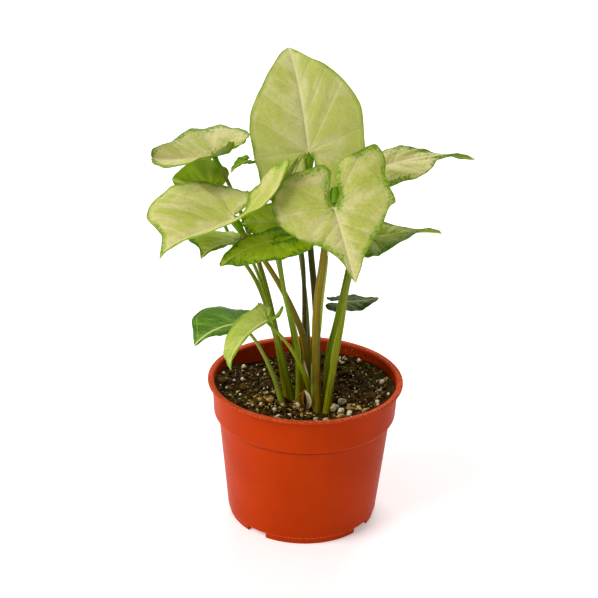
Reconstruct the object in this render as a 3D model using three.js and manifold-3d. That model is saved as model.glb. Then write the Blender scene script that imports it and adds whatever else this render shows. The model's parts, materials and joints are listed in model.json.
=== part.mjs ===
// Arrowhead plant (Syngonium) in a small plastic nursery pot.
// Millimetres, +Z up. The origin is the middle of the pot's foot, where it stands.
import * as THREE from 'three';
import { mergeVertices } from 'three/addons/utils/BufferGeometryUtils.js';
import Module from 'manifold-3d';

const wasm = await Module();
wasm.setup();

// ---- Driving dimensions -----------------------------------------------------------------

const GAP = 0.35;             // clearance between pieces that touch on the plant

const lipRadius = 55;         // outside of the rolled lip: a 110 mm, or four inch, pot
const potHeight = 83.5;
const potWall = 1.2;
const lipThickness = 1.9;     // height of the rolled lip
const bandHeight = 21.8;      // the straight band under the lip
const bandRadius = 52.4;      // outside of the band under the lip
const bodyTopRadius = 48.7;   // outside of the tapered body where the shoulder starts
const bodyBottomRadius = 43.2;
const footHeight = 3.8;
const footRadius = 42.2;
const footWidth = 2.6;
const floorThickness = 1.5;
const notchAngles = [-126, -36, 54, 144];   // water notches through the foot ring
const notchWidth = 12.5;
const drainRadius = 4;
const drainCircle = 29;
const potSegments = 40;

const soilLevel = 72;         // height of the soil in the middle
const soilSegments = potSegments;
const soilRings = 12;
const rootDepth = 7.5;        // how far a stem stands in the soil

const bladeThickness = 0.7;
const stemSides = 8;
const stemSteps = 3;          // between two places on a stem's route

const rad = THREE.MathUtils.degToRad;
const { lerp, smoothstep } = THREE.MathUtils;

// ---- The leaves -------------------------------------------------------------------------
// at       where the stem meets the blade
// head     compass heading of the tip (0 is +X, 90 is +Y) before the blade is tilted
// tilt     how far the blade is tipped from level towards the compass direction `face`
// length   junction to tip; width and lobe: half width, and reach of the two back lobes
// Pairs are [right half, left half], seen from above with the tip pointing away.
// belly 0 gives hollow shoulders, 1 full ones; flare spreads the lobes; gap opens the sinus.
// trim     a small factor on each of the eight edge points between the tip and the sinus
// edge     given instead of belly, flare, gap and trim: those points and the sinus, in mm
// droop, hook, sweep, twist, tipTwist bend the midrib; fold and curl bend the halves; lobe* the lobes.
// foot     where the stem leaves the soil; route: points that it passes; stem: its radii.

const usual = {
  belly: [0.8, 0.8], flare: [0, 0], gap: [0.15, 0.15], droop: 15, hook: 0, sweep: 0, twist: 0,
  tipTwist: 0, fold: [10, 10], curl: [-20, -20], lobeRise: [0, 0], lobeSplay: [0, 0], lobeFold: [0, 0],
  trim: [[1, 1, 1, 1, 1, 1, 1, 1], [1, 1, 1, 1, 1, 1, 1, 1]],
  wave: 0.7, waves: 2.5, phase: 0, stem: [2.0, 1.1], color: 0xbfc873, stemColor: 0x6b6a1c,
};

const leaves = {
  tall_back: {
    at: [-2, 14, 210], head: 100, tilt: 72, face: -88, length: 60, width: [31, 30], lobe: [26, 26],
    belly: [1, 0.85], gap: [0.06, 0.06], droop: 15, hook: 25, sweep: -5, twist: 10,
    fold: [8, 8], curl: [-15, -10], wave: 0.6,
    trim: [[0.95, 1, 1.05, 1, 0.95, 1, 1, 1], [1, 1, 1.05, 1, 0.95, 1.05, 1, 1]],
    foot: [7, -6], route: [[6, -4, 105], [4, -1, 131], [1, 4, 155], [-2, 10, 182]],
    stem: [2.1, 1.6], color: 0xc5c97a, stemColor: 0x3b3413,
  },
  front_right: {
    at: [12, -32, 194], head: -74, tilt: 60, face: -92, length: 40, width: [31, 31], lobe: [23, 26],
    edge: [
      [
        [2, 35], [4, 27], [12, 18], [21, 12], [29, 1], [31, -8], [27, -16.5], [17.5, -22], [6, -23],
        [-0.5, -22.5], [-3.5, -18.5],
      ],
      [
        [5, 33], [10, 25], [21, 15.5], [26.5, 7.5], [30.5, 4.5], [29.5, -7], [31.5, -17.5], [28.5, -26],
        [18.5, -24.5], [10, -22.5], [4.5, -15.5],
      ],
    ],
    droop: 0, fold: [8, 10], curl: [-15, -20],
    foot: [7.8, -21],
    route: [[5, -16, 110], [5, -19, 137], [7, -22, 159], [9, -22, 180], [11, -21.5, 196], [12.5, -24, 201]],
    stem: [2.3, 1.8], color: 0xd2c886, stemColor: 0x6d5a1c,
  },
  front_left: {
    at: [-39, -26, 185], head: 220, tilt: 16, face: -108, length: 46, width: [37, 22], lobe: [15, 33],
    edge: [
      [
        [9, 37.2], [30.5, 38.6], [40, 19.2], [37, 2.8], [34.2, -4.6], [28.9, -10.5], [20.8, -15],
        [13, -15.5], [4.5, -12.5],
      ],
      [
        [1.7, 42.3], [6.6, 30.6], [15.5, 16.6], [21.2, 2.8], [24.7, -10.6], [28, -22], [33.5, -31],
        [18, -31], [8, -29], [0.5, -23.5], [-5.5, -20],
      ],
    ],
    droop: -5, hook: 65, sweep: 20, twist: 5,
    fold: [20, 24], curl: [-20, 20], lobeRise: [10, 61], lobeSplay: [-15, -43], lobeFold: [-20, -5],
    foot: [-0.5, -8], route: [[-1, -9, 107], [-9, -12, 131], [-24, -16, 159], [-33, -18, 171]],
    stem: [2.1, 1.3], color: 0xc9ca80, stemColor: 0x3a2a12,
  },
  upper_left: {
    at: [-51, 0, 210], head: 192, tilt: 16, face: -96, length: 33, width: [23, 15], lobe: [13, 10],
    belly: [0.75, 1.15], flare: [0.2, 0], gap: [0.2, 0.15], droop: 0, hook: -20, sweep: 5, twist: -25,
    fold: [20, 30], curl: [-20, 10], lobeSplay: [-25, 0], lobeFold: [0, 40],
    trim: [[1.1, 0.9, 1, 0.95, 1.05, 1.05, 1.1, 1.05], [1.1, 1.2, 1, 1.05, 0.95, 1, 1, 1]],
    foot: [-8.5, -4], route: [[-17, -2, 110], [-27, 3, 149], [-44, 6, 193]],
    stem: [2.2, 1.1], color: 0xcdc68a, stemColor: 0x716a1b,
  },
  under_left: {
    at: [-54, 13, 189], head: 192, tilt: 62, face: 94, length: 22, width: [9, 19], lobe: [8, 8],
    belly: [0.85, 1.05], droop: 5, hook: -5, sweep: -15, twist: 35, fold: [5, 5], curl: [-20, -15],
    trim: [[1, 1, 0.95, 1, 1, 1, 1, 1], [1, 1, 1.1, 1, 1, 1, 1, 1]],
    foot: [-6, 3], route: [[-16, 5, 101], [-28, 11, 134], [-40, 15, 152], [-49, 15, 172]],
    stem: [1.8, 1.0], color: 0x93b04a, stemColor: 0x4c5416,
  },
  upper_right: {
    at: [31.5, 3, 204], head: 24, tilt: 44, face: -92, length: 60.5, width: [13, 8], lobe: [12, 12],
    edge: [
      [[1.5, 54], [3, 45], [4.5, 37], [10.5, 31], [13, 24], [12.5, 13], [12.5, 0], [9, -9], [2.5, -9]],
      [[2, 54], [3.5, 45], [5, 36], [7.5, 27], [10.5, 20], [9.5, 11], [6, 6], [4, -3], [2, -6]],
    ],
    droop: 25, hook: 15, sweep: 10, twist: -30, tipTwist: -110, fold: [10, 5], curl: [-30, -5],
    foot: [11.8, -16.5],
    route: [[12.5, -7, 100], [16, -4, 118], [20.5, 0, 143], [25.5, 7, 171], [29.5, 6, 189]],
    stem: [2.1, 1.2], color: 0xcfc68c, stemColor: 0x4f5416,
  },
  lower_right: {
    at: [32, -6, 170], head: 14, tilt: 28, face: -90, length: 40, width: [19, 12], lobe: [11, 10],
    belly: [0.35, 0.25], flare: [0.05, 0], droop: 5, hook: 20, twist: -50, fold: [25, 15],
    trim: [[1, 0.95, 1, 1, 1, 1.05, 1, 1], [1.05, 1, 0.9, 1.05, 1, 1, 1, 1]],
    foot: [11.5, -24.5], route: [[14, -19.5, 90], [18.5, -13, 121], [21.5, -11, 146], [26, -8, 161]],
    stem: [2.1, 1.2], color: 0x8f9c4e, stemColor: 0x75711c,
  },
  centre_left: {
    at: [-19, -28, 174], head: 196, tilt: 42, face: -90, length: 31, width: [8, 11], lobe: [12, 21],
    belly: [1, 0.7], gap: [0.05, 0.03], droop: 30, hook: 10, sweep: -15, twist: -5, fold: [0, 0],
    curl: [-20, -20],
    trim: [[1.05, 1.05, 1.05, 0.9, 1, 1, 1, 1], [0.95, 1, 0.95, 1, 1, 1, 1, 1]],
    foot: [-3, -14.5], route: [[-5, -15, 109], [-12, -19, 139], [-16, -23, 160]],
    stem: [1.9, 1.1], color: 0x93a03c, stemColor: 0x6a6a1d,
  },
  inner: {
    at: [-9, -14, 179], head: 176, tilt: 56, face: -90, length: 28.5, width: [13, 15.5], lobe: [10, 12],
    belly: [1, 0.75], droop: 15, hook: 5, sweep: -10, fold: [5, 5], curl: [-25, -25],
    trim: [[1, 1.05, 0.95, 1, 1, 1, 1, 1], [0.95, 0.95, 1, 1.05, 1, 1, 1, 1]],
    foot: [3, -1], route: [[-1, -3, 107], [-2, -6, 135], [-4, -11, 162]],
    stem: [1.9, 1.0], color: 0x8b9a2f, stemColor: 0x3f3a14,
  },
  mid_left: {
    at: [-38, -6, 165], head: 196, tilt: 0, face: -92, length: 24, width: [20, 5], lobe: [5, 5],
    belly: [1.2, 0.35], droop: 15, hook: 35, sweep: -35, twist: -25, fold: [10, 20], curl: [-30, -15],
    trim: [[0.9, 1.15, 1.05, 1, 1, 1, 1, 1], [1, 0.9, 0.95, 1, 1, 1, 1, 1]],
    foot: [-5, -8], route: [[-14, -7, 102], [-22, -5, 130], [-31, -4, 154]],
    stem: [1.6, 0.9], color: 0x6f8f2c, stemColor: 0x5b5a1a,
  },
  back_tip: {
    at: [-36, 32, 199], head: 204, tilt: 20, face: -90, length: 12, width: [4, 3], lobe: [2, 2],
    belly: [0.3, 0.3], droop: 60, fold: [25, 25], wave: 0,
    foot: [2, 4.5], route: [[1, 7, 100], [-2, 13, 131], [-8, 23, 163], [-16, 30, 186], [-26, 33, 198]],
    stem: [1.5, 0.8], color: 0x8faa3e, stemColor: 0x5f6a22,
  },
  rolled: {
    at: [-18, -5, 191], head: 60, tilt: 66, face: -88, length: 26, width: [5, 5], lobe: [4, 4],
    belly: [0.55, 0.65], droop: 0, sweep: -5, fold: [50, 50], curl: [35, 40], wave: 0,
    foot: [-1, 1.5], route: [[-7, 2, 105], [-13, 2, 134], [-17, -1, 164]],
    stem: [1.5, 0.9], color: 0xd6d59a, stemColor: 0x5f6a22,
  },
  low_right: {
    at: [21, 12, 125], head: 4, tilt: 18, face: -90, length: 19, width: [8, 7], lobe: [11, 10],
    belly: [0.7, 0.65], droop: -5, hook: -5, sweep: -5, twist: 5, fold: [0, -5], curl: [-5, -15],
    foot: [13.5, 1], route: [[14.5, 3, 82], [17, 6, 98], [19.5, 9, 112]],
    stem: [1.6, 0.9], color: 0x5d7040, stemColor: 0x5f6a22,
  },
  low_left: {
    at: [-37, -12, 120], head: 188, tilt: 16, face: -88, length: 30, width: [25, 7], lobe: [10, 10],
    belly: [1.1, 0.5], droop: 55, hook: 10, sweep: -15, twist: -35, fold: [0, 10], curl: [-45, -30],
    trim: [[0.95, 1.1, 1.05, 1, 1, 1, 1, 1], [1, 0.8, 0.95, 1.05, 1, 1, 1, 1]],
    foot: [-10.5, -12.5], route: [[-17, -12, 87], [-24, -12, 103], [-31, -12, 114]],
    stem: [1.7, 0.9], color: 0x3f8a22, stemColor: 0x8a8a22,
  },
  low_front: {
    at: [-21, -29, 130], head: 212, tilt: 26, face: -94, length: 38, width: [12, 4], lobe: [7, 10],
    belly: [0.85, 0.65], flare: [0.15, 0.1], gap: [0.3, 0.1], droop: 85, hook: 5, sweep: -5, twist: 5,
    fold: [10, 35], curl: [-5, -5], lobeRise: [-20, 20], lobeSplay: [20, -35],
    trim: [[1, 1.1, 1, 0.85, 0.95, 1.05, 1, 1], [1, 1, 0.95, 1, 1, 1, 1.05, 1]],
    foot: [5.5, -15.5], route: [[2.2, -17, 84], [-1.5, -24, 98.5], [-9, -27, 114]],
    stem: [1.8, 0.9], color: 0x9db83e, stemColor: 0x83862a,
  },
};

// ---- Turning lists of points and triangles into meshes ------------------------------------

function geometryFrom(points, triangles) {
  const geometry = new THREE.BufferGeometry();
  geometry.setAttribute('position', new THREE.Float32BufferAttribute(points, 3));
  geometry.setIndex(triangles);
  return geometry;
}

function solidFrom(geometry) {
  const bare = geometry.clone();
  bare.deleteAttribute('normal');
  bare.deleteAttribute('uv');
  const merged = mergeVertices(bare, 1e-4);
  return new wasm.Manifold(new wasm.Mesh({
    numProp: 3,
    vertProperties: new Float32Array(merged.getAttribute('position').array),
    triVerts: new Uint32Array(merged.getIndex().array),
  }));
}

function geometryOfSolid(solid) {
  const mesh = solid.getMesh();
  return geometryFrom(Array.from(mesh.vertProperties), Array.from(mesh.triVerts));
}

function random(seed) {
  let state = seed;
  return () => {
    state = (state + 0x6d2b79f5) | 0;
    let mixed = Math.imul(state ^ (state >>> 15), 1 | state);
    mixed = (mixed + Math.imul(mixed ^ (mixed >>> 7), 61 | mixed)) ^ mixed;
    return ((mixed ^ (mixed >>> 14)) >>> 0) / 4294967296;
  };
}

// LatheGeometry turns its profile about Y: this stands it up, so that Z is the axis.
function latheUp(outline, segments) {
  return new THREE.LatheGeometry(outline, segments).rotateX(Math.PI / 2);
}

// ---- Pot ---------------------------------------------------------------------------------

const shoulderZ = potHeight - bandHeight;
const bandBottomRadius = bandRadius - 0.9;

function insideRadiusAt(z) {
  const outside = z > shoulderZ
    ? lerp(bandBottomRadius, bandRadius, (z - shoulderZ) / bandHeight)
    : lerp(bodyBottomRadius, bodyTopRadius, (z - footHeight) / (shoulderZ - footHeight));
  return outside - potWall;
}

function potOutline() {
  const path = new THREE.Path();
  const roll = lipThickness / 2;
  const floorTop = footHeight + floorThickness;
  path.moveTo(0, footHeight);
  path.lineTo(footRadius - footWidth, footHeight);
  path.lineTo(footRadius - footWidth, 0);
  path.lineTo(footRadius, 0);
  path.lineTo(footRadius + 0.3, footHeight - 0.5);
  path.lineTo(bodyBottomRadius, footHeight);
  path.lineTo(bodyTopRadius, shoulderZ - 1);
  path.lineTo(bandRadius - 2.2, shoulderZ + 0.2);
  path.lineTo(bandBottomRadius, shoulderZ + 1.6);
  path.lineTo(bandRadius, potHeight - lipThickness);
  path.absarc(lipRadius - roll, potHeight - roll, roll, -Math.PI / 2, Math.PI / 2, false);
  path.lineTo(bandRadius - 0.2, potHeight - 0.1);
  path.lineTo(bandRadius - potWall, potHeight - 1.2);
  path.lineTo(insideRadiusAt(shoulderZ + 1), shoulderZ + 1);
  path.lineTo(insideRadiusAt(shoulderZ - 2), shoulderZ - 2);
  path.lineTo(insideRadiusAt(floorTop), floorTop);
  path.lineTo(0, floorTop);
  return path.getPoints(3);
}

function potGeometry() {
  let pot = solidFrom(latheUp(potOutline(), potSegments));
  for (const degrees of notchAngles) {
    const notch = new THREE.BoxGeometry(12, notchWidth, 2 * (footHeight - 0.5));
    notch.translate(footRadius, 0, 0).rotateZ(rad(degrees));
    const drain = new THREE.CylinderGeometry(drainRadius, drainRadius, 12, 12);
    drain.rotateX(Math.PI / 2).translate(drainCircle, 0, footHeight).rotateZ(rad(degrees));
    pot = pot.subtract(solidFrom(notch)).subtract(solidFrom(drain));
  }
  return geometryOfSolid(pot);
}

// ---- Stems -------------------------------------------------------------------------------

// A closed tube through a list of stations, each with a place, two side vectors and a radius.
function tube(stations) {
  const points = [];
  const triangles = [];
  for (const { place, right, up, radius } of stations) {
    for (let side = 0; side < stemSides; side += 1) {
      const angle = (2 * Math.PI * side) / stemSides;
      const rim = place.clone();
      rim.addScaledVector(right, radius * Math.cos(angle)).addScaledVector(up, radius * Math.sin(angle));
      points.push(...rim.toArray());
    }
  }
  const start = points.length / 3;
  points.push(...stations[0].place.toArray(), ...stations.at(-1).place.toArray());
  const last = (stations.length - 1) * stemSides;
  for (let side = 0; side < stemSides; side += 1) {
    const beside = (side + 1) % stemSides;
    for (let row = 0; row < last; row += stemSides) {
      triangles.push(row + side, row + beside, row + stemSides + beside);
      triangles.push(row + side, row + stemSides + beside, row + stemSides + side);
    }
    triangles.push(start, beside, side, start + 1, last + side, last + beside);
  }
  return geometryFrom(points, triangles);
}

// The stem ends just under the blade, clear of it by the gap.
function stemEnd(leaf) {
  const { at, normal } = bladeFrame(leaf);
  const arrival = at.clone().sub(new THREE.Vector3(...leaf.route.at(-1))).normalize();
  const slant = Math.sqrt(1 - arrival.dot(normal) ** 2);
  return at.addScaledVector(normal, -(bladeThickness + GAP + leaf.stem[1] * slant));
}

// Each station's side vectors are those of the last one, turned square to the stem.
function stemStations(leaf, extra = 0) {
  const foot = new THREE.Vector3(...leaf.foot, soilLevel - rootDepth - extra);
  const route = leaf.route.map((place) => new THREE.Vector3(...place));
  const curve = new THREE.CatmullRomCurve3([foot, ...route, stemEnd(leaf)]);
  const steps = stemSteps * (route.length + 1);
  let right = new THREE.Vector3(1, 0, 0);
  return Array.from({ length: steps + 1 }, (_, step) => {
    const share = step / steps;
    const tangent = curve.getTangent(share);
    right = right.clone().addScaledVector(tangent, -right.dot(tangent)).normalize();
    return {
      place: curve.getPoint(share),
      right,
      up: new THREE.Vector3().crossVectors(tangent, right),
      radius: extra + lerp(leaf.stem[0], leaf.stem[1], smoothstep(share, 0, 0.9)),
    };
  });
}

// ---- Soil --------------------------------------------------------------------------------

// Bark and peat lumps, scattered evenly over the soil.
const draw = random(41);
const lumps = Array.from({ length: 46 }, () => {
  const reach = 47 * Math.sqrt(draw());
  const angle = 2 * Math.PI * draw();
  return {
    x: reach * Math.cos(angle), y: reach * Math.sin(angle),
    width: lerp(2.5, 5, draw()), height: lerp(0.5, 2.2, draw()),
  };
});

// The soil is heaped up against the wall, most of all at the front, with a hollow at the back left.
function soilHeightAt(x, y) {
  const rolling = 0.8 * Math.sin(x / 19 + 0.6) * Math.cos(y / 15);
  const heaped = (7.3 - 0.045 * y) * (Math.hypot(x, y) / 50) ** 3;
  const hollow = 6.5 * Math.exp(-((x + 28) ** 2 + (y - 40) ** 2) / 18 ** 2);
  let height = soilLevel + rolling + heaped - hollow;
  for (const lump of lumps) {
    height += lump.height * Math.exp(-((x - lump.x) ** 2 + (y - lump.y) ** 2) / lump.width ** 2);
  }
  return height;
}

function soilGeometry() {
  const bottom = footHeight + floorThickness + GAP;
  const wallLevels = [soilLevel - 5, shoulderZ + 1.8, shoulderZ - 1.3, bottom];
  const points = [0, 0, soilHeightAt(0, 0), 0, 0, bottom];
  const triangles = [];
  for (let spoke = 0; spoke < soilSegments; spoke += 1) {
    const angle = (2 * Math.PI * spoke) / soilSegments;
    const put = (radius, z) => points.push(radius * Math.cos(angle), radius * Math.sin(angle), z);
    for (let ring = 1; ring <= soilRings; ring += 1) {
      const radius = ((insideRadiusAt(soilLevel) - 0.6) * ring) / soilRings;
      put(radius, soilHeightAt(radius * Math.cos(angle), radius * Math.sin(angle)));
    }
    for (const z of wallLevels) put(insideRadiusAt(z) - GAP, z);
  }
  const rows = soilRings + wallLevels.length;
  const id = (spoke, row) => 2 + (spoke % soilSegments) * rows + row;
  for (let spoke = 0; spoke < soilSegments; spoke += 1) {
    triangles.push(0, id(spoke, 0), id(spoke + 1, 0), 1, id(spoke + 1, rows - 1), id(spoke, rows - 1));
    for (let row = 0; row < rows - 1; row += 1) {
      triangles.push(id(spoke, row), id(spoke, row + 1), id(spoke + 1, row + 1));
      triangles.push(id(spoke, row), id(spoke + 1, row + 1), id(spoke + 1, row));
    }
  }
  let soil = solidFrom(geometryFrom(points, triangles));
  for (const leaf of Object.values(leaves)) {
    const inSoil = stemStations(leaf, GAP).filter((station) => station.place.z < soilLevel + 25);
    soil = soil.subtract(solidFrom(tube(inSoil)));
  }
  return geometryOfSolid(soil);
}

// ---- Leaf blades ---------------------------------------------------------------------------

function bladeFrame(leaf) {
  const face = rad(leaf.face);
  const heading = rad(leaf.head);
  const hinge = new THREE.Vector3(-Math.sin(face), Math.cos(face), 0);
  const tip = new THREE.Vector3(Math.cos(heading), Math.sin(heading), 0);
  tip.applyAxisAngle(hinge, rad(leaf.tilt));
  const normal = new THREE.Vector3(0, 0, 1).applyAxisAngle(hinge, rad(leaf.tilt));
  const across = new THREE.Vector3().crossVectors(tip, normal);
  return { at: new THREE.Vector3(...leaf.at), tip, across, normal };
}

// The midrib and the two lobe ribs: a frame every few millimetres, bent a little at each step.
function rib(leaf, length, bendAt) {
  const steps = 40;
  const frame = bladeFrame(leaf);
  const frames = [frame];
  let before = [0, 0, 0];
  for (let step = 1; step <= steps; step += 1) {
    const now = bendAt(step / steps);
    const [pitch, sweep, twist] = now.map((angle, axis) => rad(angle - before[axis]));
    const last = frames.at(-1);
    const tip = last.tip.clone().applyAxisAngle(last.across, pitch);
    const normal = last.normal.clone().applyAxisAngle(last.across, pitch);
    tip.applyAxisAngle(normal, -sweep);
    const across = last.across.clone().applyAxisAngle(normal, -sweep).applyAxisAngle(tip, twist);
    normal.applyAxisAngle(tip, twist);
    frames.push({ at: last.at.clone().addScaledVector(tip, length / steps), tip, across, normal });
    before = now;
  }
  return (distance) => {
    const place = Math.min(distance / Math.abs(length), 1) * steps;
    const low = Math.min(Math.floor(place), steps - 1);
    const blend = (key) => frames[low][key].clone().lerp(frames[low + 1][key], place - low);
    return {
      at: blend('at'), across: blend('across').normalize(), normal: blend('normal').normalize(),
    };
  };
}

// The flat outline of one half, from the tip round the lobe to the sinus, as a smooth curve.
function halfOutline(leaf, half) {
  const [width, lobe, belly] = [leaf.width[half], leaf.lobe[half], leaf.belly[half]];
  const flare = leaf.flare[half];
  const edge = [
    [0.06 + 0.18 * belly, 0.92], [0.28 + 0.34 * belly, 0.70], [0.72 + 0.22 * belly, 0.38],
    [0.96 + 0.03 * belly, 0.06], [0.99 + 0.12 * flare, -0.32], [0.86 + 0.25 * flare, -0.74],
    [0.60 + 0.25 * flare, -1.00], [0.36 + 0.15 * flare, -0.98],
  ].map(([x, y], index) => {
    const reach = leaf.trim[half][index];
    return [x * width * reach, y * (y > 0 ? leaf.length : lobe) * reach];
  });
  const sinus = [leaf.gap[half] * width, -0.74 * lobe];
  const points = leaf.edge ? leaf.edge[half] : [...edge, sinus];
  const curve = [[0, leaf.length], ...points];
  return new THREE.SplineCurve(curve.map(([x, y]) => new THREE.Vector2(x, y)));
}

// Lays a flat point (x across, y along) on the bent blade.
function bladeSurface(leaf) {
  const midrib = rib(leaf, leaf.length * 1.02, (share) => [
    -(leaf.droop * share + leaf.hook * share ** 4), leaf.sweep * share,
    leaf.twist * share + leaf.tipTwist * share ** 4,
  ]);
  const lobeRibs = [0, 1].map((half) => rib(leaf, -leaf.lobe[half] * 1.05, (share) => [
    -leaf.lobeRise[half] * share, (half ? 1 : -1) * leaf.lobeSplay[half] * share, 0,
  ]));
  return (half, x, y, share, along) => {
    const { at, across, normal } = y >= 0 ? midrib(y) : lobeRibs[half](-y);
    const lobeFold = y < 0 ? (leaf.lobeFold[half] * -y) / leaf.lobe[half] : 0;
    const fold = rad(leaf.fold[half] + lobeFold);
    const bend = rad(leaf.curl[half]) / leaf.width[half];
    const turned = fold + bend * x;
    const sideways = (Math.sin(turned) - Math.sin(fold)) / bend;
    const ripple = Math.sin(2 * Math.PI * leaf.waves * along + leaf.phase + 0.9 * half);
    const raised = (Math.cos(fold) - Math.cos(turned)) / bend
      + leaf.wave * share ** 3 * ripple * Math.min(1, 6 * along);
    const side = half ? -1 : 1;
    const up = normal.clone().multiplyScalar(Math.cos(turned));
    up.addScaledVector(across, -side * Math.sin(turned));
    return {
      place: at.addScaledVector(across, side * sideways).addScaledVector(normal, raised), up,
    };
  };
}

// Spokes fan out from the junction to the edge, and rings join them. The under face repeats
// the upper one's triangles a blade's thickness below.
function bladeGeometry(leaf) {
  const spokes = leaf.length > 31 ? 14 : 8;
  const rings = leaf.length > 31 ? 4 : 3;
  const surface = bladeSurface(leaf);
  const outlines = [0, 1].map((half) => halfOutline(leaf, half));
  const { at, normal } = bladeFrame(leaf);
  const upper = [at];
  const under = [at.clone().addScaledVector(normal, -bladeThickness)];
  for (let spoke = -spokes; spoke <= spokes; spoke += 1) {
    const half = spoke < 0 ? 1 : 0;
    const along = Math.abs(spoke) / spokes;
    const edge = outlines[half].getPoint(along);
    for (let ring = 1; ring <= rings; ring += 1) {
      const share = ring / rings;
      const { place, up } = surface(half, edge.x * share, edge.y * share, share, along);
      const upright = spoke === 0 ? midribNormal(surface, edge.y * share) : up;
      upper.push(place);
      under.push(place.clone().addScaledVector(upright, -bladeThickness));
    }
  }
  const count = upper.length;
  const id = (spoke, ring) => (ring === 0 ? 0 : 1 + (spoke + spokes) * rings + ring - 1);
  const triangles = [];
  const bothFaces = (a, b, c) => triangles.push(a, b, c, count + a, count + c, count + b);
  const rim = (a, b) => triangles.push(a, b, count + b, a, count + b, count + a);
  for (let spoke = -spokes; spoke < spokes; spoke += 1) {
    bothFaces(0, id(spoke + 1, 1), id(spoke, 1));
    for (let ring = 1; ring < rings; ring += 1) {
      bothFaces(id(spoke, ring), id(spoke + 1, ring), id(spoke + 1, ring + 1));
      bothFaces(id(spoke, ring), id(spoke + 1, ring + 1), id(spoke, ring + 1));
    }
    rim(id(spoke, rings), id(spoke + 1, rings));
  }
  for (let ring = 0; ring < rings; ring += 1) {
    rim(id(spokes, ring + 1), id(spokes, ring));
    rim(id(-spokes, ring), id(-spokes, ring + 1));
  }
  return geometryFrom([...upper, ...under].flatMap((point) => point.toArray()), triangles);
}

// On the midrib both halves meet, so the under face is set straight below it there.
function midribNormal(surface, y) {
  const right = surface(0, 1e-3, y, 0, 0).up;
  return right.add(surface(1, 1e-3, y, 0, 0).up).normalize();
}

// ---- The plant -----------------------------------------------------------------------------

const plant = new THREE.Group();

function add(name, geometry, color, roughness) {
  geometry.computeVertexNormals();
  const material = new THREE.MeshStandardMaterial({ color, roughness, metalness: 0 });
  const mesh = new THREE.Mesh(geometry, material);
  mesh.name = name;
  plant.add(mesh);
}

for (const name of Object.keys(leaves)) leaves[name] = { ...usual, ...leaves[name] };

add('pot', potGeometry(), 0xc2451d, 0.3);
add('soil', soilGeometry(), 0x2c2117, 0.95);
for (const [name, leaf] of Object.entries(leaves)) {
  add(`leaf_${name}`, bladeGeometry(leaf), leaf.color, 0.45);
  add(`stem_${name}`, tube(stemStations(leaf)), leaf.stemColor, 0.4);
}

export default plant;
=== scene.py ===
# %% [markdown]
# # An arrowhead plant in its nursery pot
#
# The plant is a bush of separate leaves. Each leaf is a thin arrow-shaped blade that hangs on
# a long stem, and every stem rises out of the same few square centimetres of soil. A solid
# model with all the sizes is already packed, so nothing has to be measured here: this lesson
# dresses that model. Each rough solid is replaced by a finer mesh of the same form, and the
# mesh gets veins, mottling, soil crumbs and moulded plastic.

# %% Load the solid model and keep its box
import json
import math

import bmesh
import bpy
import numpy as np
from mathutils import Euler, Matrix, Quaternion, Vector, noise


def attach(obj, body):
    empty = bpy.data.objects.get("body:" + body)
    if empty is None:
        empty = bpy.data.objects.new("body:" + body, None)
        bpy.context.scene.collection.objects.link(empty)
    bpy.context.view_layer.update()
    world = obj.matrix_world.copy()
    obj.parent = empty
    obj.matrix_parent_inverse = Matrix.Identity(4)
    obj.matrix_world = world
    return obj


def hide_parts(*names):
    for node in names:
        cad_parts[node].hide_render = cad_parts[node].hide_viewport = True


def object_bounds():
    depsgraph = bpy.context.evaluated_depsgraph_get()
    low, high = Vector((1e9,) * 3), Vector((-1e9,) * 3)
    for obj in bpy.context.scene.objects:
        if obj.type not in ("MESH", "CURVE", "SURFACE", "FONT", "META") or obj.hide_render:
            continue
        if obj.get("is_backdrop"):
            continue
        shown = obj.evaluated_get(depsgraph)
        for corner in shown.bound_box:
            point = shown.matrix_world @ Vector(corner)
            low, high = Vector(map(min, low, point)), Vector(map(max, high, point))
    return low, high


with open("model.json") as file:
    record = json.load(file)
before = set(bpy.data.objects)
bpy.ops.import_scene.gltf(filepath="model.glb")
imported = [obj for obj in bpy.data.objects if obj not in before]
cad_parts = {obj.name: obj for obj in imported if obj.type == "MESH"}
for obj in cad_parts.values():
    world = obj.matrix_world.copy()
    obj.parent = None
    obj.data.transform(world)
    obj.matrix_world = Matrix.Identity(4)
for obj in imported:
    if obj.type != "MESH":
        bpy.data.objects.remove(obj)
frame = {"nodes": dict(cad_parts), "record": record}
cad_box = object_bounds()
MM = 0.001
print("solids:", len(frame["nodes"]), "box in mm:", [[round(v / MM) for v in c] for c in cad_box])

# %% [markdown]
# ## The camera
#
# The plant is looked at from a little above, at arm's length, with a short telephoto lens, so
# the pot tapers a little more than it really does. A camera could be aimed with a Track To
# constraint. Setting its matrix from a turn, a tilt and a slight roll is exact, and leaves no
# constraint behind.

# %% Camera
CAMERA_PLACE = Vector((0, -605, 381)) * MM
CAMERA_TURN, CAMERA_TILT, CAMERA_ROLL = 0.46, 22.5, 1.6     # degrees: left, down, clockwise
LENS = 71.8                                                 # mm, on a sensor 36 mm wide


def aim(turn, tilt, roll):
    """Starts from a camera that looks straight down, and stands it up."""
    stand = Matrix.Rotation(math.radians(90 - tilt), 4, "X")
    spin = Matrix.Rotation(math.radians(roll), 4, "Z")
    return Matrix.Rotation(math.radians(turn), 4, "Z") @ stand @ spin


camera = bpy.data.objects.new("camera", bpy.data.cameras.new("camera"))
camera.data.lens = LENS
camera.data.sensor_width = 36
camera.matrix_world = Matrix.Translation(CAMERA_PLACE) @ aim(CAMERA_TURN, CAMERA_TILT, CAMERA_ROLL)
bpy.context.collection.objects.link(camera)
bpy.context.scene.camera = camera
print("camera", round(CAMERA_PLACE.length, 3), "m from the foot of the pot")

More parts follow.
